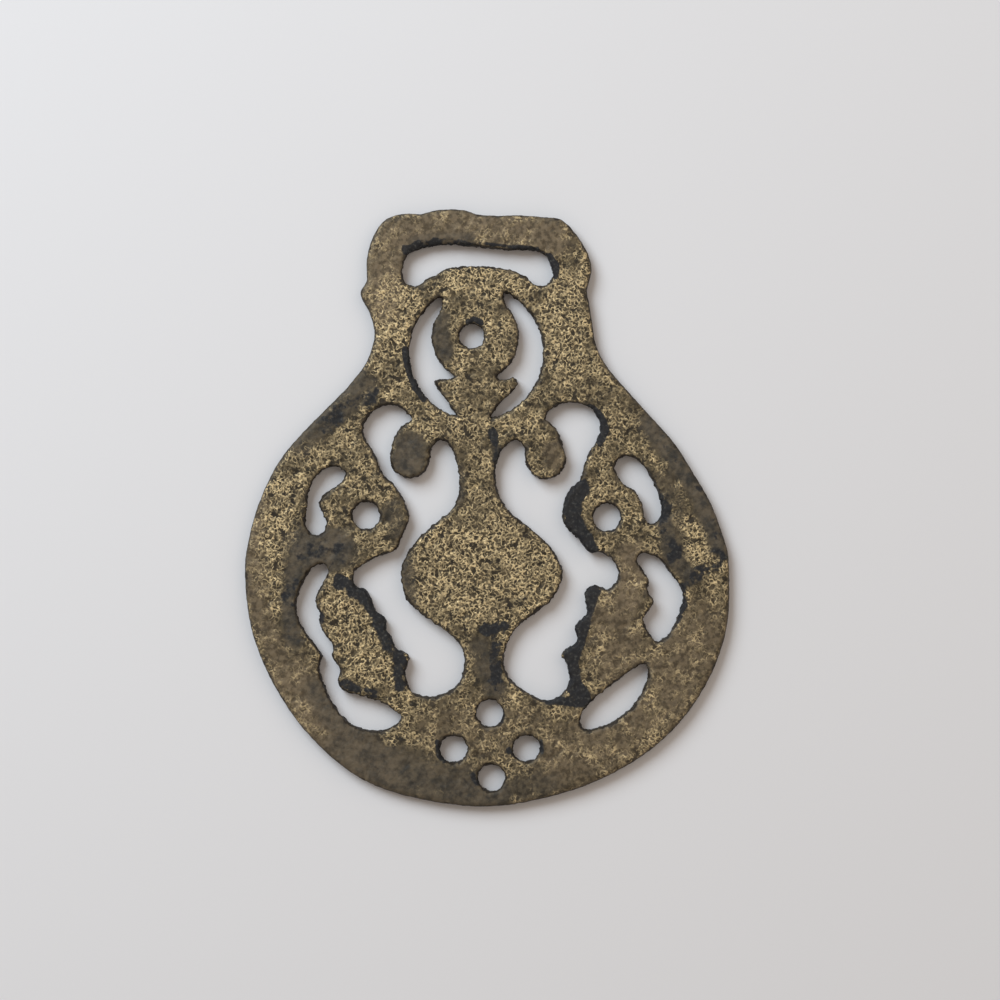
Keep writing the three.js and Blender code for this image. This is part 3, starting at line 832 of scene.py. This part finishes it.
class CastSkin:
    """Builds the closed skin of the casting on its outlines.

    Args:
        outlines: the plate's outlines
        sizes: sizes of the casting's skin
    """

    # Distances of the rings of points along an edge, in reaches of the rounded edge
    RINGS = (0.08, 0.22, 0.42, 0.68)
    BACK_RINGS = RINGS[1::2]
    # How far the points of the rows are loosened, and how far they keep from the last ring, in steps
    JITTER = 0.16
    ROW_GAP = 0.45
    # Least distance between two points, and between the points of a ring, in wall steps
    LEAST_GAP = 0.3
    RING_GAP = 0.5
    # A ring's point is dropped where another edge is closer than this share of the ring's distance
    RING_CLEAR = 0.93
    # Lifts a row off any point of the outlines at the same height
    ROW_LIFT = 1e-5
    # Output type of the triangulation; what it makes in the windows is taken out afterwards
    CDT_KIND = 4
    # Closer than this, the triangulation takes two points for one
    SAME_POINT = 1e-7
    SEED = 41

    def __init__(self, outlines: CastOutlines, sizes: CastingSizes) -> None:
        self.outlines = outlines
        self.sizes = sizes
        self.random = np.random.default_rng(self.SEED)

    def build(self, name: str) -> bpy.types.Object:
        """Makes the skin as a mesh object.

        Its attributes give each point's distance to the nearest edge and to the outer edge.

        Args:
            name: the object's name
        Returns:
            the object, at the origin
        """
        skin = SkinMesh()
        sizes = self.sizes
        rim = np.vstack(self.outlines.loops)
        front_points, front_faces = self._face(self.RINGS, sizes.rim_reach, sizes.front_step)
        back_points, back_faces = self._face(self.BACK_RINGS, sizes.back_reach, sizes.back_step)
        front_distances = self.outlines.distances(front_points)
        back_distances = self.outlines.distances(back_points)
        front_heights = sizes.thickness - self._front_fall(front_points)
        back_heights = self._fall(back_distances, sizes.back_reach, sizes.back_drop)
        top = skin.extend(np.column_stack([front_points, front_heights]), front_distances)
        skin.faces += [tuple(top + k for k in face) for face in front_faces]
        upper = top
        brow, foot = front_heights[: len(rim)], back_heights[: len(rim)]
        for share in np.arange(1, sizes.wall_rows) / sizes.wall_rows:
            row = np.column_stack([rim, brow + share * (foot - brow)])
            lower = skin.extend(row, np.zeros(len(rim)))
            skin.faces += self._wall(upper, lower)
            upper = lower
        bottom = skin.extend(np.column_stack([back_points, back_heights]), back_distances)
        skin.faces += self._wall(upper, bottom)
        skin.faces += [tuple(bottom + k for k in reversed(face)) for face in back_faces]
        flat = np.vstack(skin.points)[:, :2]
        return self._as_object(name, skin, self.outlines.distances(flat, self.outlines.loops[:1]))

    def _front_fall(self, points: np.ndarray) -> np.ndarray:
        """How far the front has fallen towards the outer edge or a window's edge.

        Args:
            points: points of the front
        Returns:
            one fall for each point
        """
        sizes = self.sizes
        wear = 1.0 + sizes.worn_share * PatinaPainter.amounts(Patina.WORN, points)
        to_rim = self.outlines.distances(points, self.outlines.loops[:1])
        to_window = self.outlines.distances(points, self.outlines.loops[1:])
        return np.maximum(
            self._fall(to_rim, sizes.rim_reach * wear, sizes.rim_drop),
            self._fall(to_window, sizes.window_reach * wear, sizes.window_drop * np.sqrt(wear)),
        )

    def _face(
        self, rings: tuple[float, ...], reach: float, step: float
    ) -> tuple[np.ndarray, list[tuple[int, ...]]]:
        """Fills the outlines with points and triangles.

        Args:
            rings: distances of the rings along the edges, in reaches
            reach: how wide the rounded edge is
            step: distance between the points
        Returns:
            the points, of which the outlines' own come first, in order, and the triangles
        """
        rim = np.vstack(self.outlines.loops)
        inner = [self._ring(share * reach) for share in rings]
        inner.append(self._rows(step, max(rings) * reach + self.ROW_GAP * step))
        inner_points = np.vstack(inner)
        inner_points = inner_points[self._apart(inner_points, self.LEAST_GAP * self.sizes.wall_step)]
        points = np.vstack([rim, inner_points])
        edges = []
        start = 0
        for loop in self.outlines.loops:
            edges += [(start + k, start + (k + 1) % len(loop)) for k in range(len(loop))]
            start += len(loop)
        corners_given = [Vector(point) for point in points]
        made = delaunay_2d_cdt(corners_given, edges, [], self.CDT_KIND, self.SAME_POINT, True)
        used, _, faces, origins = made[:4]
        number = [origin[0] if origin else -1 for origin in origins]
        assert min(number) >= 0, "the outlines cross"
        assert len(used) == len(points), "two points fell together"
        corners = np.array([[number[k] for k in face] for face in faces])
        # Only a triangle between three points of the outlines can lie in a window
        in_doubt = (corners < len(rim)).all(axis=1)
        metal = np.ones(len(corners), bool)
        metal[in_doubt] = self.outlines.holds(points[corners[in_doubt]].mean(axis=1))
        return points, [self._turned_up(points, tuple(face)) for face in corners[metal].tolist()]

    @staticmethod
    def _turned_up(points: np.ndarray, face: tuple[int, ...]) -> tuple[int, ...]:
        """Turns a triangle so that it faces up.

        Args:
            points: the points
            face: the triangle's three point numbers
        Returns:
            the numbers in an order that runs anticlockwise
        """
        a, b, c = (points[k] for k in face[:3])
        area = (b[0] - a[0]) * (c[1] - a[1]) - (c[0] - a[0]) * (b[1] - a[1])
        return face if area > 0 else tuple(reversed(face))

    def _ring(self, depth: float) -> np.ndarray:
        """Makes points at one distance inside the outlines, where the metal is wide enough for them.

        Args:
            depth: the distance
        Returns:
            the points
        """
        rings = []
        for loop in self.outlines.loops:
            moved = loop + depth * self.outlines.inward(loop)
            kept = [0]
            for k in range(1, len(moved)):
                if np.linalg.norm(moved[k] - moved[kept[-1]]) > self.RING_GAP * self.sizes.wall_step:
                    kept.append(k)
            rings.append(moved[kept])
        points = np.vstack(rings)
        return points[self.outlines.distances(points) > self.RING_CLEAR * depth]

    def _rows(self, step: float, margin: float) -> np.ndarray:
        """Makes points in loosened rows all over the metal.

        Args:
            step: distance between the points
            margin: least distance of a point to the nearest edge
        Returns:
            the points
        """
        rim = np.vstack(self.outlines.loops)
        rows = []
        heights = np.arange(rim[:, 1].min(), rim[:, 1].max(), step * math.sqrt(3) / 2)
        for k, height in enumerate(heights):
            crossings = self.outlines.crossings(height + self.ROW_LIFT)
            for start, end in zip(crossings[0::2], crossings[1::2]):
                first = math.ceil(start / step) * step + (k % 2) * step / 2
                across = np.arange(first, end, step)
                rows.append(np.column_stack([across, np.full(len(across), height)]))
        points = np.vstack(rows)
        points += self.random.normal(0.0, self.JITTER * step, points.shape)
        return points[self.outlines.distances(points) > margin]

    @staticmethod
    def _apart(points: np.ndarray, least: float) -> np.ndarray:
        """Marks the points to keep so that no two are too close.

        Args:
            points: the points
            least: least distance between two of them
        Returns:
            one truth value for each point
        """
        tree = KDTree(len(points))
        for k, (x, y) in enumerate(points):
            tree.insert((x, y, 0.0), k)
        tree.balance()
        keep = np.ones(len(points), bool)
        for k, (x, y) in enumerate(points):
            if keep[k]:
                for _, other, _ in tree.find_range((x, y, 0.0), least):
                    if other > k:
                        keep[other] = False
        return keep

    @staticmethod
    def _fall(
        distances: np.ndarray, reach: float | np.ndarray, drop: float | np.ndarray
    ) -> np.ndarray:
        """How far a rounded edge has fallen from the flat.

        Args:
            distances: distances from the edge
            reach: how wide the rounded edge is
            drop: how far it falls at the edge
        Returns:
            one fall for each distance
        """
        share = np.clip(1.0 - distances / reach, 0.0, 1.0)
        return drop * (1.0 - np.sqrt(1.0 - share**2))

    def _wall(self, upper: int, lower: int) -> list[tuple[int, ...]]:
        """Makes the faces between two rows of points that run along the outlines.

        Args:
            upper: number of the upper row's first point
            lower: number of the lower row's first point
        Returns:
            the faces, which look out of the metal
        """
        faces = []
        start = 0
        for loop in self.outlines.loops:
            for k in range(len(loop)):
                here, after = start + k, start + (k + 1) % len(loop)
                faces.append((lower + here, lower + after, upper + after, upper + here))
            start += len(loop)
        return faces

    @staticmethod
    def _as_object(name: str, skin: SkinMesh, rim_distances: np.ndarray) -> bpy.types.Object:
        """Makes the mesh object and writes its attributes.

        Args:
            name: the object's name
            skin: the points, faces and edge distances
            rim_distances: each point's distance to the outer edge
        Returns:
            the object
        """
        mesh = bpy.data.meshes.new(name)
        mesh.from_pydata((np.vstack(skin.points) * MM).tolist(), [], skin.faces)
        for attribute, values in (
            ("edge_distance", np.concatenate(skin.distances)),
            ("rim_distance", rim_distances),
        ):
            written = mesh.attributes.new(attribute, "FLOAT", "POINT")
            written.data.foreach_set("value", values.astype(np.float32))
        mesh.update()
        skin_object = bpy.data.objects.new(name, mesh)
        bpy.context.scene.collection.objects.link(skin_object)
        return skin_object


class PatinaPainter:
    """Writes how much of each patina every point carries, from the patches on the front."""

    # A patch has faded out this many reaches from its stroke, over this many reaches
    FADED_OUT = 1.6
    FADE_WIDTH = 1.2

    def paint(self, skin: bpy.types.Object) -> None:
        """Writes one attribute for each patina.

        Args:
            skin: the casting's skin
        """
        mesh = skin.data
        places = np.empty(len(mesh.vertices) * 3, np.float32)
        mesh.vertices.foreach_get("co", places)
        flat = places.reshape(-1, 3)[:, :2].astype(float) / MM
        for patina in Patina:
            attribute = mesh.attributes.new(patina.value, "FLOAT", "POINT")
            attribute.data.foreach_set("value", self.amounts(patina, flat).astype(np.float32))

    @classmethod
    def amounts(cls, patina: Patina, flat: np.ndarray) -> np.ndarray:
        """How much of one patina lies at each place.

        Args:
            patina: the kind of patina
            flat: places on the front
        Returns:
            one amount for each place, from 0 to 1
        """
        amount = np.zeros(len(flat))
        for patch in PATCHES:
            if patch.patina is patina:
                amount = np.maximum(amount, cls._amount(patch, flat))
        return amount

    @classmethod
    def _amount(cls, patch: Patch, flat: np.ndarray) -> np.ndarray:
        """Strength of one patch: whole along the stroke, fading over its width.

        Args:
            patch: the patch
            flat: places on the front
        Returns:
            one amount for each place
        """
        nearest = np.full(len(flat), np.inf)
        path = np.array(patch.path)
        for start, end in zip(path[:-1], path[1:]):
            side = end - start
            share = np.clip(((flat - start) @ side) / (side @ side), 0.0, 1.0)
            nearest = np.minimum(nearest, np.linalg.norm(flat - start - share[:, None] * side, axis=1))
        left = (cls.FADED_OUT * patch.reach - nearest) / (cls.FADE_WIDTH * patch.reach)
        fade = np.clip(left, 0.0, 1.0)
        return patch.strength * fade * fade * (3.0 - 2.0 * fade)


class CastRelief:
    """Geometry tree that roughens the skin: grain, pits and slow swells on the front, ragged walls.

    Args:
        sizes: heights and periods of the relief
    """

    # Upward parts of a face's normal at which it starts to count as the front and does so in full
    FRONT_SLOPES = (0.1, 0.6)
    # How far the grain's noise is from its middle value on a ridge and beside it
    GRAIN_BAND = (0.0, 0.12)
    GRAIN_DETAIL = 1.5
    # Values of the noise at a pit's edge and at its floor
    PIT_BAND = (0.55, 0.72)
    # Distances from the edge at which the roughness starts and is whole
    ROUGH_BAND = (0.0, 0.5)
    # Distances from the outer edge at which the walls start to be more ragged and are so in full
    RIM_BAND = (0.4, 1.8)
    # Distances from the edge at which the raggedness has gone and is whole
    RAGGED_BAND = (1.3, 0.0)
    RAGGED_DETAIL = 3.0
    RAGGED_ROUGHNESS = 0.6
    # What is added to the seed for each of the other noises
    PIT_SEED = 7.0
    SWELL_SEED = 13.0
    RAGGED_SEED = 19.0

    def __init__(self, sizes: ReliefSizes) -> None:
        self.sizes = sizes

    def apply(self, skin: bpy.types.Object, material: bpy.types.Material) -> bpy.types.Object:
        """Runs the tree on the skin and returns the result as a plain mesh object.

        Args:
            skin: the smooth skin, which is used up
            material: the brass
        Returns:
            the finished casting
        """
        tree, sockets = self._tree(material)
        modifier = skin.modifiers.new("relief", "NODES")
        modifier.node_group = tree
        for name, identifier in sockets.items():
            modifier[identifier] = getattr(self.sizes, name)
        name = skin.name
        evaluated = skin.evaluated_get(bpy.context.evaluated_depsgraph_get())
        mesh = bpy.data.meshes.new_from_object(evaluated)
        bpy.data.objects.remove(skin)
        mesh.name = name
        mesh.shade_smooth()
        casting = bpy.data.objects.new(name, mesh)
        bpy.context.scene.collection.objects.link(casting)
        return casting

    def _tree(self, material: bpy.types.Material) -> tuple[bpy.types.NodeTree, dict[str, str]]:
        """Writes the geometry tree, with one named input for each size of the relief.

        Args:
            material: the brass
        Returns:
            the tree, and the identifier of the input of each size
        """
        tree = bpy.data.node_groups.new("cast relief", "GeometryNodeTree")
        interface = tree.interface
        interface.new_socket("Geometry", in_out="INPUT", socket_type="NodeSocketGeometry")
        interface.new_socket("Geometry", in_out="OUTPUT", socket_type="NodeSocketGeometry")
        sockets = {}
        for name in self.sizes.__dataclass_fields__:
            socket = interface.new_socket(name, in_out="INPUT", socket_type="NodeSocketFloat")
            sockets[name] = socket.identifier
        write = TreeWriter(tree)
        given = write.add("NodeGroupInput").outputs
        place = write.add("GeometryNodeInputPosition").outputs[0]
        edge = self._attribute(write, "edge_distance")
        offset = self._rise(write, given, place, edge)
        shift = self._raggedness(write, given, place, edge)
        up = write.add("ShaderNodeCombineXYZ", 0.0, 0.0, offset).outputs[0]
        moved = write.add("ShaderNodeVectorMath", up, shift, operation="ADD").outputs[0]
        raised = write.add("GeometryNodeSetPosition", given["Geometry"])
        write.feed(raised.inputs["Offset"], self._scaled(write, moved, MM))
        coated = write.add("GeometryNodeSetMaterial", raised.outputs[0])
        coated.inputs["Material"].default_value = material
        realized = write.add("GeometryNodeRealizeInstances", coated.outputs[0])
        write.add("NodeGroupOutput", realized.outputs[0])
        return tree, sockets

    @staticmethod
    def _attribute(write: TreeWriter, name: str) -> bpy.types.NodeSocket:
        """Reads one of the skin's own attributes."""
        return write.add("GeometryNodeInputNamedAttribute", name, data_type="FLOAT").outputs[0]

    @staticmethod
    def _scaled(write: TreeWriter, vector: bpy.types.NodeSocket, factor: object) -> bpy.types.NodeSocket:
        """Multiplies a vector by a number or a socket.

        Args:
            write: the tree's writer
            vector: the vector
            factor: what it is multiplied by
        Returns:
            the longer or shorter vector
        """
        node = write.add("ShaderNodeVectorMath", vector, operation="SCALE")
        write.feed(node.inputs["Scale"], factor)
        return node.outputs[0]

    def _rise(
        self,
        write: TreeWriter,
        given: bpy.types.bpy_prop_collection,
        place: bpy.types.NodeSocket,
        edge: bpy.types.NodeSocket,
    ) -> bpy.types.NodeSocket:
        """Height added to the front: ridges and pits away from its edges, and slow swells all over.

        Args:
            write: the tree's writer
            given: the tree's inputs
            place: position in metres
            edge: distance to the nearest edge
        Returns:
            the height in millimetres, 0 on the walls and the back
        """
        normal = write.add("GeometryNodeInputNormal").outputs[0]
        facing = write.add("ShaderNodeSeparateXYZ", normal).outputs[2]
        front = write.step(facing, *self.FRONT_SLOPES)
        grain = write.noise(place, given["grain_period"], given["seed"], self.GRAIN_DETAIL).outputs[0]
        ridges = write.product(write.ridges(grain, *self.GRAIN_BAND), given["grain_height"])
        later = write.math("ADD", given["seed"], self.PIT_SEED)
        pits = write.noise(place, given["pit_period"], later).outputs[0]
        pitting = write.product(write.step(pits, *self.PIT_BAND), given["pit_depth"], -1.0)
        latest = write.math("ADD", given["seed"], self.SWELL_SEED)
        slow = write.noise(place, given["swell_period"], latest, detail=1.0).outputs[0]
        swell = write.product(write.math("SUBTRACT", slow, NOISE_MIDDLE), given["swell_height"])
        inner = write.step(edge, *self.ROUGH_BAND)
        rough = write.product(write.math("ADD", ridges, pitting), inner)
        return write.product(write.math("ADD", rough, swell), front)

    def _raggedness(
        self,
        write: TreeWriter,
        given: bpy.types.bpy_prop_collection,
        place: bpy.types.NodeSocket,
        edge: bpy.types.NodeSocket,
    ) -> bpy.types.NodeSocket:
        """Sideways shift of the walls and of the edges next to them.

        Args:
            write: the tree's writer
            given: the tree's inputs
            place: position in metres
            edge: distance to the nearest edge
        Returns:
            the shift in millimetres, level with the table
        """
        seed = write.math("ADD", given["seed"], self.RAGGED_SEED)
        wander = write.noise(
            place, given["ragged_period"], seed, self.RAGGED_DETAIL, self.RAGGED_ROUGHNESS
        ).outputs[1]
        middle = (NOISE_MIDDLE, NOISE_MIDDLE, NOISE_MIDDLE)
        centred = write.add("ShaderNodeVectorMath", wander, middle, operation="SUBTRACT").outputs[0]
        level = write.add("ShaderNodeVectorMath", centred, (1.0, 1.0, 0.0), operation="MULTIPLY").outputs[0]
        rim = self._attribute(write, "rim_distance")
        kept = write.math("SUBTRACT", 1.0, given["rim_share"])
        share = write.math("ADD", given["rim_share"], write.product(write.step(rim, *self.RIM_BAND), kept))
        # The noise reaches half its span each way, so the depth counts twice
        near = write.product(write.step(edge, *self.RAGGED_BAND), given["ragged_depth"], 2.0, share)
        return self._scaled(write, level, near)


class BrassMaterial:
    """Patina of the old brass: brown body, worn gold flecks, smooth edges and blue-black deposits, with
    painted shade in the dark walls and a few deposit strokes.

    Args:
        finish: colours and gloss
        patterns: the noise patterns that they follow
        relief: periods that the flecks share with the relief
    """

    def __init__(self, finish: BrassFinish, patterns: BrassPatterns, relief: ReliefSizes) -> None:
        self.finish = finish
        self.patterns = patterns
        self.relief = relief

    def build(self, name: str) -> bpy.types.Material:
        """Makes the material.

        Args:
            name: the material's name
        Returns:
            the material
        """
        material = bpy.data.materials.new(name)
        material.use_nodes = True
        material.node_tree.nodes.clear()
        write = TreeWriter(material.node_tree)
        finish = self.finish
        place = write.add("ShaderNodeTexCoord").outputs["Object"]
        edge = self._attribute(write, "edge_distance")
        # Blue-black deposits, with the painted shade of a few walls turned away from the light
        soot_and_shade = self._deposit_and_shade(write, place)
        flecks = self._flecks(write, place, edge)
        gold = write.product(flecks, write.math("SUBTRACT", 1.0, write.product(soot_and_shade, finish.soot_hides)))
        colour = self._colour(write, place, edge, gold, soot_and_shade)
        patina_gloss = self._mixed(write, gold, finish.body_roughness, finish.gold_roughness)
        roughness = self._mixed(write, soot_and_shade, patina_gloss, finish.soot_roughness)
        metal = write.total(
            finish.body_metallic,
            write.product(gold, finish.gold_metallic),
            write.product(soot_and_shade, -finish.body_metallic),
        )
        fine = write.pattern(place, self.patterns.roughening)
        height = write.math("ADD", fine, write.product(gold, finish.gold_lift))
        bump = write.add("ShaderNodeBump", finish.bump_strength, finish.bump_height * MM)
        write.feed(bump.inputs["Height"], height)
        shader = write.add("ShaderNodeBsdfPrincipled")
        write.feed(shader.inputs["Base Color"], colour)
        write.feed(shader.inputs["Roughness"], roughness)
        write.feed(shader.inputs["Metallic"], metal)
        write.feed(shader.inputs["Normal"], bump.outputs[0])
        shader.inputs["Specular IOR Level"].default_value = finish.specular
        write.add("ShaderNodeOutputMaterial", shader.outputs[0])
        return material

    @staticmethod
    def _attribute(write: TreeWriter, name: str) -> bpy.types.NodeSocket:
        """Reads one of the skin's own attributes."""
        return write.add("ShaderNodeAttribute", attribute_name=name).outputs["Fac"]

    @staticmethod
    def _mixed(write: TreeWriter, share: object, low: object, high: object) -> bpy.types.NodeSocket:
        """Goes from the low value to the high one as the share goes from 0 to 1."""
        span = write.math("SUBTRACT", high, low)
        return write.math("ADD", low, write.math("MULTIPLY", span, share))

    @staticmethod
    def _tinted(
        write: TreeWriter, share: bpy.types.NodeSocket, below: object, above: object
    ) -> bpy.types.NodeSocket:
        """Lays one colour over another.

        Args:
            write: the tree's writer
            share: how much of the upper colour shows
            below: the lower colour, or the socket that gives it
            above: the upper colour
        Returns:
            the mixed colour
        """
        node = write.add("ShaderNodeMix", data_type="RGBA")
        write.feed(node.inputs["Factor"], share)
        for socket, colour in zip((node.inputs[6], node.inputs[7]), (below, above)):
            write.feed(socket, (*colour, 1.0) if isinstance(colour, tuple) else colour)
        return node.outputs[2]

    def _deposit_and_shade(self, write: TreeWriter, place: bpy.types.NodeSocket) -> bpy.types.NodeSocket:
        """How much blue-black deposit lies at a place, with ragged borders; a few of its strokes are partly
        painted shade on walls turned away from the light.

        Args:
            write: the tree's writer
            place: position in metres
        Returns:
            the amount, from 0 to 1
        """
        patterns = self.patterns
        soot_and_shade = self._attribute(write, Patina.SOOT.value)
        torn = write.pattern(place, patterns.deposit)
        uneven = write.product(write.math("SUBTRACT", torn, NOISE_MIDDLE), patterns.deposit_sway)
        return write.step(write.math("ADD", soot_and_shade, uneven), *patterns.deposit_band)

    def _flecks(
        self, write: TreeWriter, place: bpy.types.NodeSocket, edge: bpy.types.NodeSocket
    ) -> bpy.types.NodeSocket:
        """How bright the worn gold flecks are at a place: winding lines, thinner where the patina is whole.

        Args:
            write: the tree's writer
            place: position in metres
            edge: distance to the nearest edge
        Returns:
            the brightness, from 0 up to about 1
        """
        relief, patterns = self.relief, self.patterns
        broad = write.noise(place, relief.grain_period, relief.seed, CastRelief.GRAIN_DETAIL).outputs[0]
        worms = write.ridges(broad, *patterns.worm_band)
        curls = write.ridges(write.pattern(place, patterns.curls), *patterns.curl_band)
        lines = write.math("MAXIMUM", write.product(worms, patterns.worm_strength), curls)
        lit = write.step(write.pattern(place, patterns.glints), *patterns.glint_band)
        glints = write.math("ADD", patterns.glint_least, write.product(lit, patterns.glint_gain))
        lean = write.total(
            write.pattern(place, patterns.cover),
            write.product(self._attribute(write, Patina.GILDING.value), patterns.cover_by_gilding),
            write.product(self._attribute(write, Patina.DULL.value), patterns.cover_by_dull),
            write.product(self._attribute(write, Patina.SMOOTH.value), patterns.cover_by_smooth),
        )
        cover = write.step(lean, *patterns.cover_band)
        off_edge = write.step(self._wavering(write, place, edge), *patterns.bare_edge_band)
        bare = write.math("SUBTRACT", 1.0, self._clumps(write, place))
        return write.product(lines, glints, cover, off_edge, bare)

    def _clumps(self, write: TreeWriter, place: bpy.types.NodeSocket) -> bpy.types.NodeSocket:
        """Small dark spots that break up the flecks."""
        return write.step(write.pattern(place, self.patterns.clumps), *self.patterns.clump_band)

    def _wavering(
        self, write: TreeWriter, place: bpy.types.NodeSocket, edge: bpy.types.NodeSocket
    ) -> bpy.types.NodeSocket:
        """Distance to the edge, made uneven so that what follows it has a torn border."""
        torn = write.math("SUBTRACT", write.pattern(place, self.patterns.edge), NOISE_MIDDLE)
        return write.math("ADD", edge, write.product(torn, self.patterns.edge_sway))

    def _colour(
        self,
        write: TreeWriter,
        place: bpy.types.NodeSocket,
        edge: bpy.types.NodeSocket,
        gold: bpy.types.NodeSocket,
        soot_and_shade: bpy.types.NodeSocket,
    ) -> bpy.types.NodeSocket:
        """The brass's colour, laid on in layers from the patina up to the deposits; the dark walls and a few
        deposit strokes are partly painted shade.

        Args:
            write: the tree's writer
            place: position in metres
            edge: distance to the nearest edge
            gold: how bright the flecks are
            soot_and_shade: how much deposit lies there, with the painted shade of a few walls
        Returns:
            the colour
        """
        finish, patterns = self.finish, self.patterns
        mottle = write.pattern(place, patterns.mottle)
        patina = self._tinted(write, write.step(mottle, *patterns.mottle_band), finish.deep, finish.body)
        clumps = write.product(self._clumps(write, place), patterns.clump_share)
        spotted = self._tinted(write, clumps, patina, finish.clump)
        blotch = write.step(write.pattern(place, patterns.blotch), *patterns.blotch_band)
        grey = self._tinted(write, blotch, finish.dull_dark, finish.dull_pale)
        by_edge = write.step(self._wavering(write, place, edge), *patterns.dull_edge_band)
        near_edge = write.product(by_edge, patterns.dull_edge_share)
        dull = write.math("MAXIMUM", self._attribute(write, Patina.DULL.value), near_edge)
        brown = self._tinted(write, write.step(mottle, *patterns.brown_band), finish.brown, finish.brown_pale)
        browned = self._tinted(write, self._attribute(write, Patina.SMOOTH.value), spotted, brown)
        edged = self._tinted(write, write.product(dull, patterns.dull_share), browned, grey)
        flecked = self._tinted(write, gold, edged, finish.gold)
        # Painted shade in part: the walls and the front's outermost edge take the dark wall colour
        walled_and_shaded = self._tinted(write, self._fringe_and_wall_shade(write, place, edge), flecked, finish.wall)
        specks = write.step(write.pattern(place, patterns.specks), *patterns.speck_band)
        deposit = self._tinted(write, specks, finish.soot_and_shade, finish.soot_pale)
        # The deposits go on top; on a few walls turned away from the light they are partly painted shade
        return self._tinted(write, write.product(soot_and_shade, patterns.deposit_share), walled_and_shaded, deposit)

    def _fringe_and_wall_shade(
        self, write: TreeWriter, place: bpy.types.NodeSocket, edge: bpy.types.NodeSocket
    ) -> bpy.types.NodeSocket:
        """The dark walls, their black patina together with painted shade, and the torn dark line of deposit
        that they leave on the front next to some edges.

        Args:
            write: the tree's writer
            place: position in metres
            edge: distance to the nearest edge
        Returns:
            how much of it shows, from 0 to 1
        """
        patterns = self.patterns
        torn = write.math("SUBTRACT", write.pattern(place, patterns.fringe), patterns.fringe_middle)
        strayed = write.math("ADD", edge, write.product(torn, patterns.fringe_sway))
        line = write.step(strayed, *patterns.fringe_band)
        # Painted shade in part: the walls' darkness, with the torn line beside them
        return write.math("MAXIMUM", write.step(edge, *patterns.wall_band), line)


class Studio:
    """Table, lights and camera round the casting.

    Args:
        sizes: where they stand
        front_height: height of the casting's front over the table
    """

    def __init__(self, sizes: StudioSizes, front_height: float) -> None:
        self.sizes = sizes
        self.front_height = front_height

    def build(self) -> None:
        """Makes the table, the lights and the camera."""
        self._floor()
        for light in self.sizes.lights:
            self._area_light(light)
        self._world()
        self._camera()

    def _floor(self) -> None:
        """Makes the table."""
        sizes = self.sizes
        half = sizes.floor_width / 2 * MM
        mesh = bpy.data.meshes.new("table")
        corners = [(-half, -half, 0.0), (half, -half, 0.0), (half, half, 0.0), (-half, half, 0.0)]
        mesh.from_pydata(corners, [], [(0, 1, 2, 3)])
        table = bpy.data.objects.new("table", mesh)
        bpy.context.scene.collection.objects.link(table)
        material = bpy.data.materials.new("pale table")
        material.use_nodes = True
        shader = material.node_tree.nodes["Principled BSDF"]
        shader.inputs["Base Color"].default_value = (*sizes.floor_colour, 1.0)
        shader.inputs["Roughness"].default_value = sizes.floor_roughness
        shader.inputs["Specular IOR Level"].default_value = sizes.floor_specular
        mesh.materials.append(material)

    @staticmethod
    def _area_light(given: AreaLight) -> None:
        """Hangs one light, turned to the origin.

        Args:
            given: the light
        """
        light = bpy.data.lights.new(given.name, "AREA")
        light.shape = "DISK"
        light.size = given.width * MM
        light.energy = given.power
        light.color = given.colour
        lamp = bpy.data.objects.new(given.name, light)
        lamp.location = Vector(given.place) * MM
        lamp.rotation_euler = (-lamp.location).to_track_quat("-Z", "Y").to_euler()
        bpy.context.scene.collection.objects.link(lamp)

    def _world(self) -> None:
        """Sets the even light of the room."""
        world = bpy.data.worlds.new("studio")
        world.use_nodes = True
        background = world.node_tree.nodes["Background"]
        background.inputs["Color"].default_value = (*self.sizes.room_colour, 1.0)
        background.inputs["Strength"].default_value = self.sizes.room_strength
        bpy.context.scene.world = world

    def _camera(self) -> None:
        """Sets the camera over the casting, looking straight down."""
        sizes = self.sizes
        camera = bpy.data.cameras.new("camera")
        distance = sizes.camera_height - self.front_height
        camera.lens = camera.sensor_width * distance / sizes.frame_width
        camera.clip_start = sizes.nearest * MM
        eye = bpy.data.objects.new("camera", camera)
        eye.location = (sizes.aim[0] * MM, sizes.aim[1] * MM, sizes.camera_height * MM)
        bpy.context.scene.collection.objects.link(eye)
        bpy.context.scene.camera = eye


def main() -> None:
    """Builds the casting, its finish and the studio."""
    logging.basicConfig(level=logging.INFO, format="%(name)s: %(message)s")
    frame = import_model()
    casting_sizes, relief_sizes = CastingSizes(), ReliefSizes()
    Studio(StudioSizes(), casting_sizes.thickness).build()
    outlines = CastOutlines(frame["nodes"][CAD_NODE], casting_sizes)
    LOG.info("outlines: %d, points: %d", len(outlines.loops), sum(len(loop) for loop in outlines.loops))
    skin = CastSkin(outlines, casting_sizes).build("cast_brass_skin")
    PatinaPainter().paint(skin)
    material = BrassMaterial(BrassFinish(), BrassPatterns(), relief_sizes).build(MATERIAL_SLOT)
    casting = CastRelief(relief_sizes).apply(skin, material)
    triangles = sum(len(polygon.vertices) - 2 for polygon in casting.data.polygons)
    LOG.info("cast skin: %d points, %d triangles", len(casting.data.vertices), triangles)
    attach(casting, "root")
    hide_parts(CAD_NODE)
    bpy.context.scene.view_settings.view_transform = "Standard"


if __name__ == "__main__":
    main()
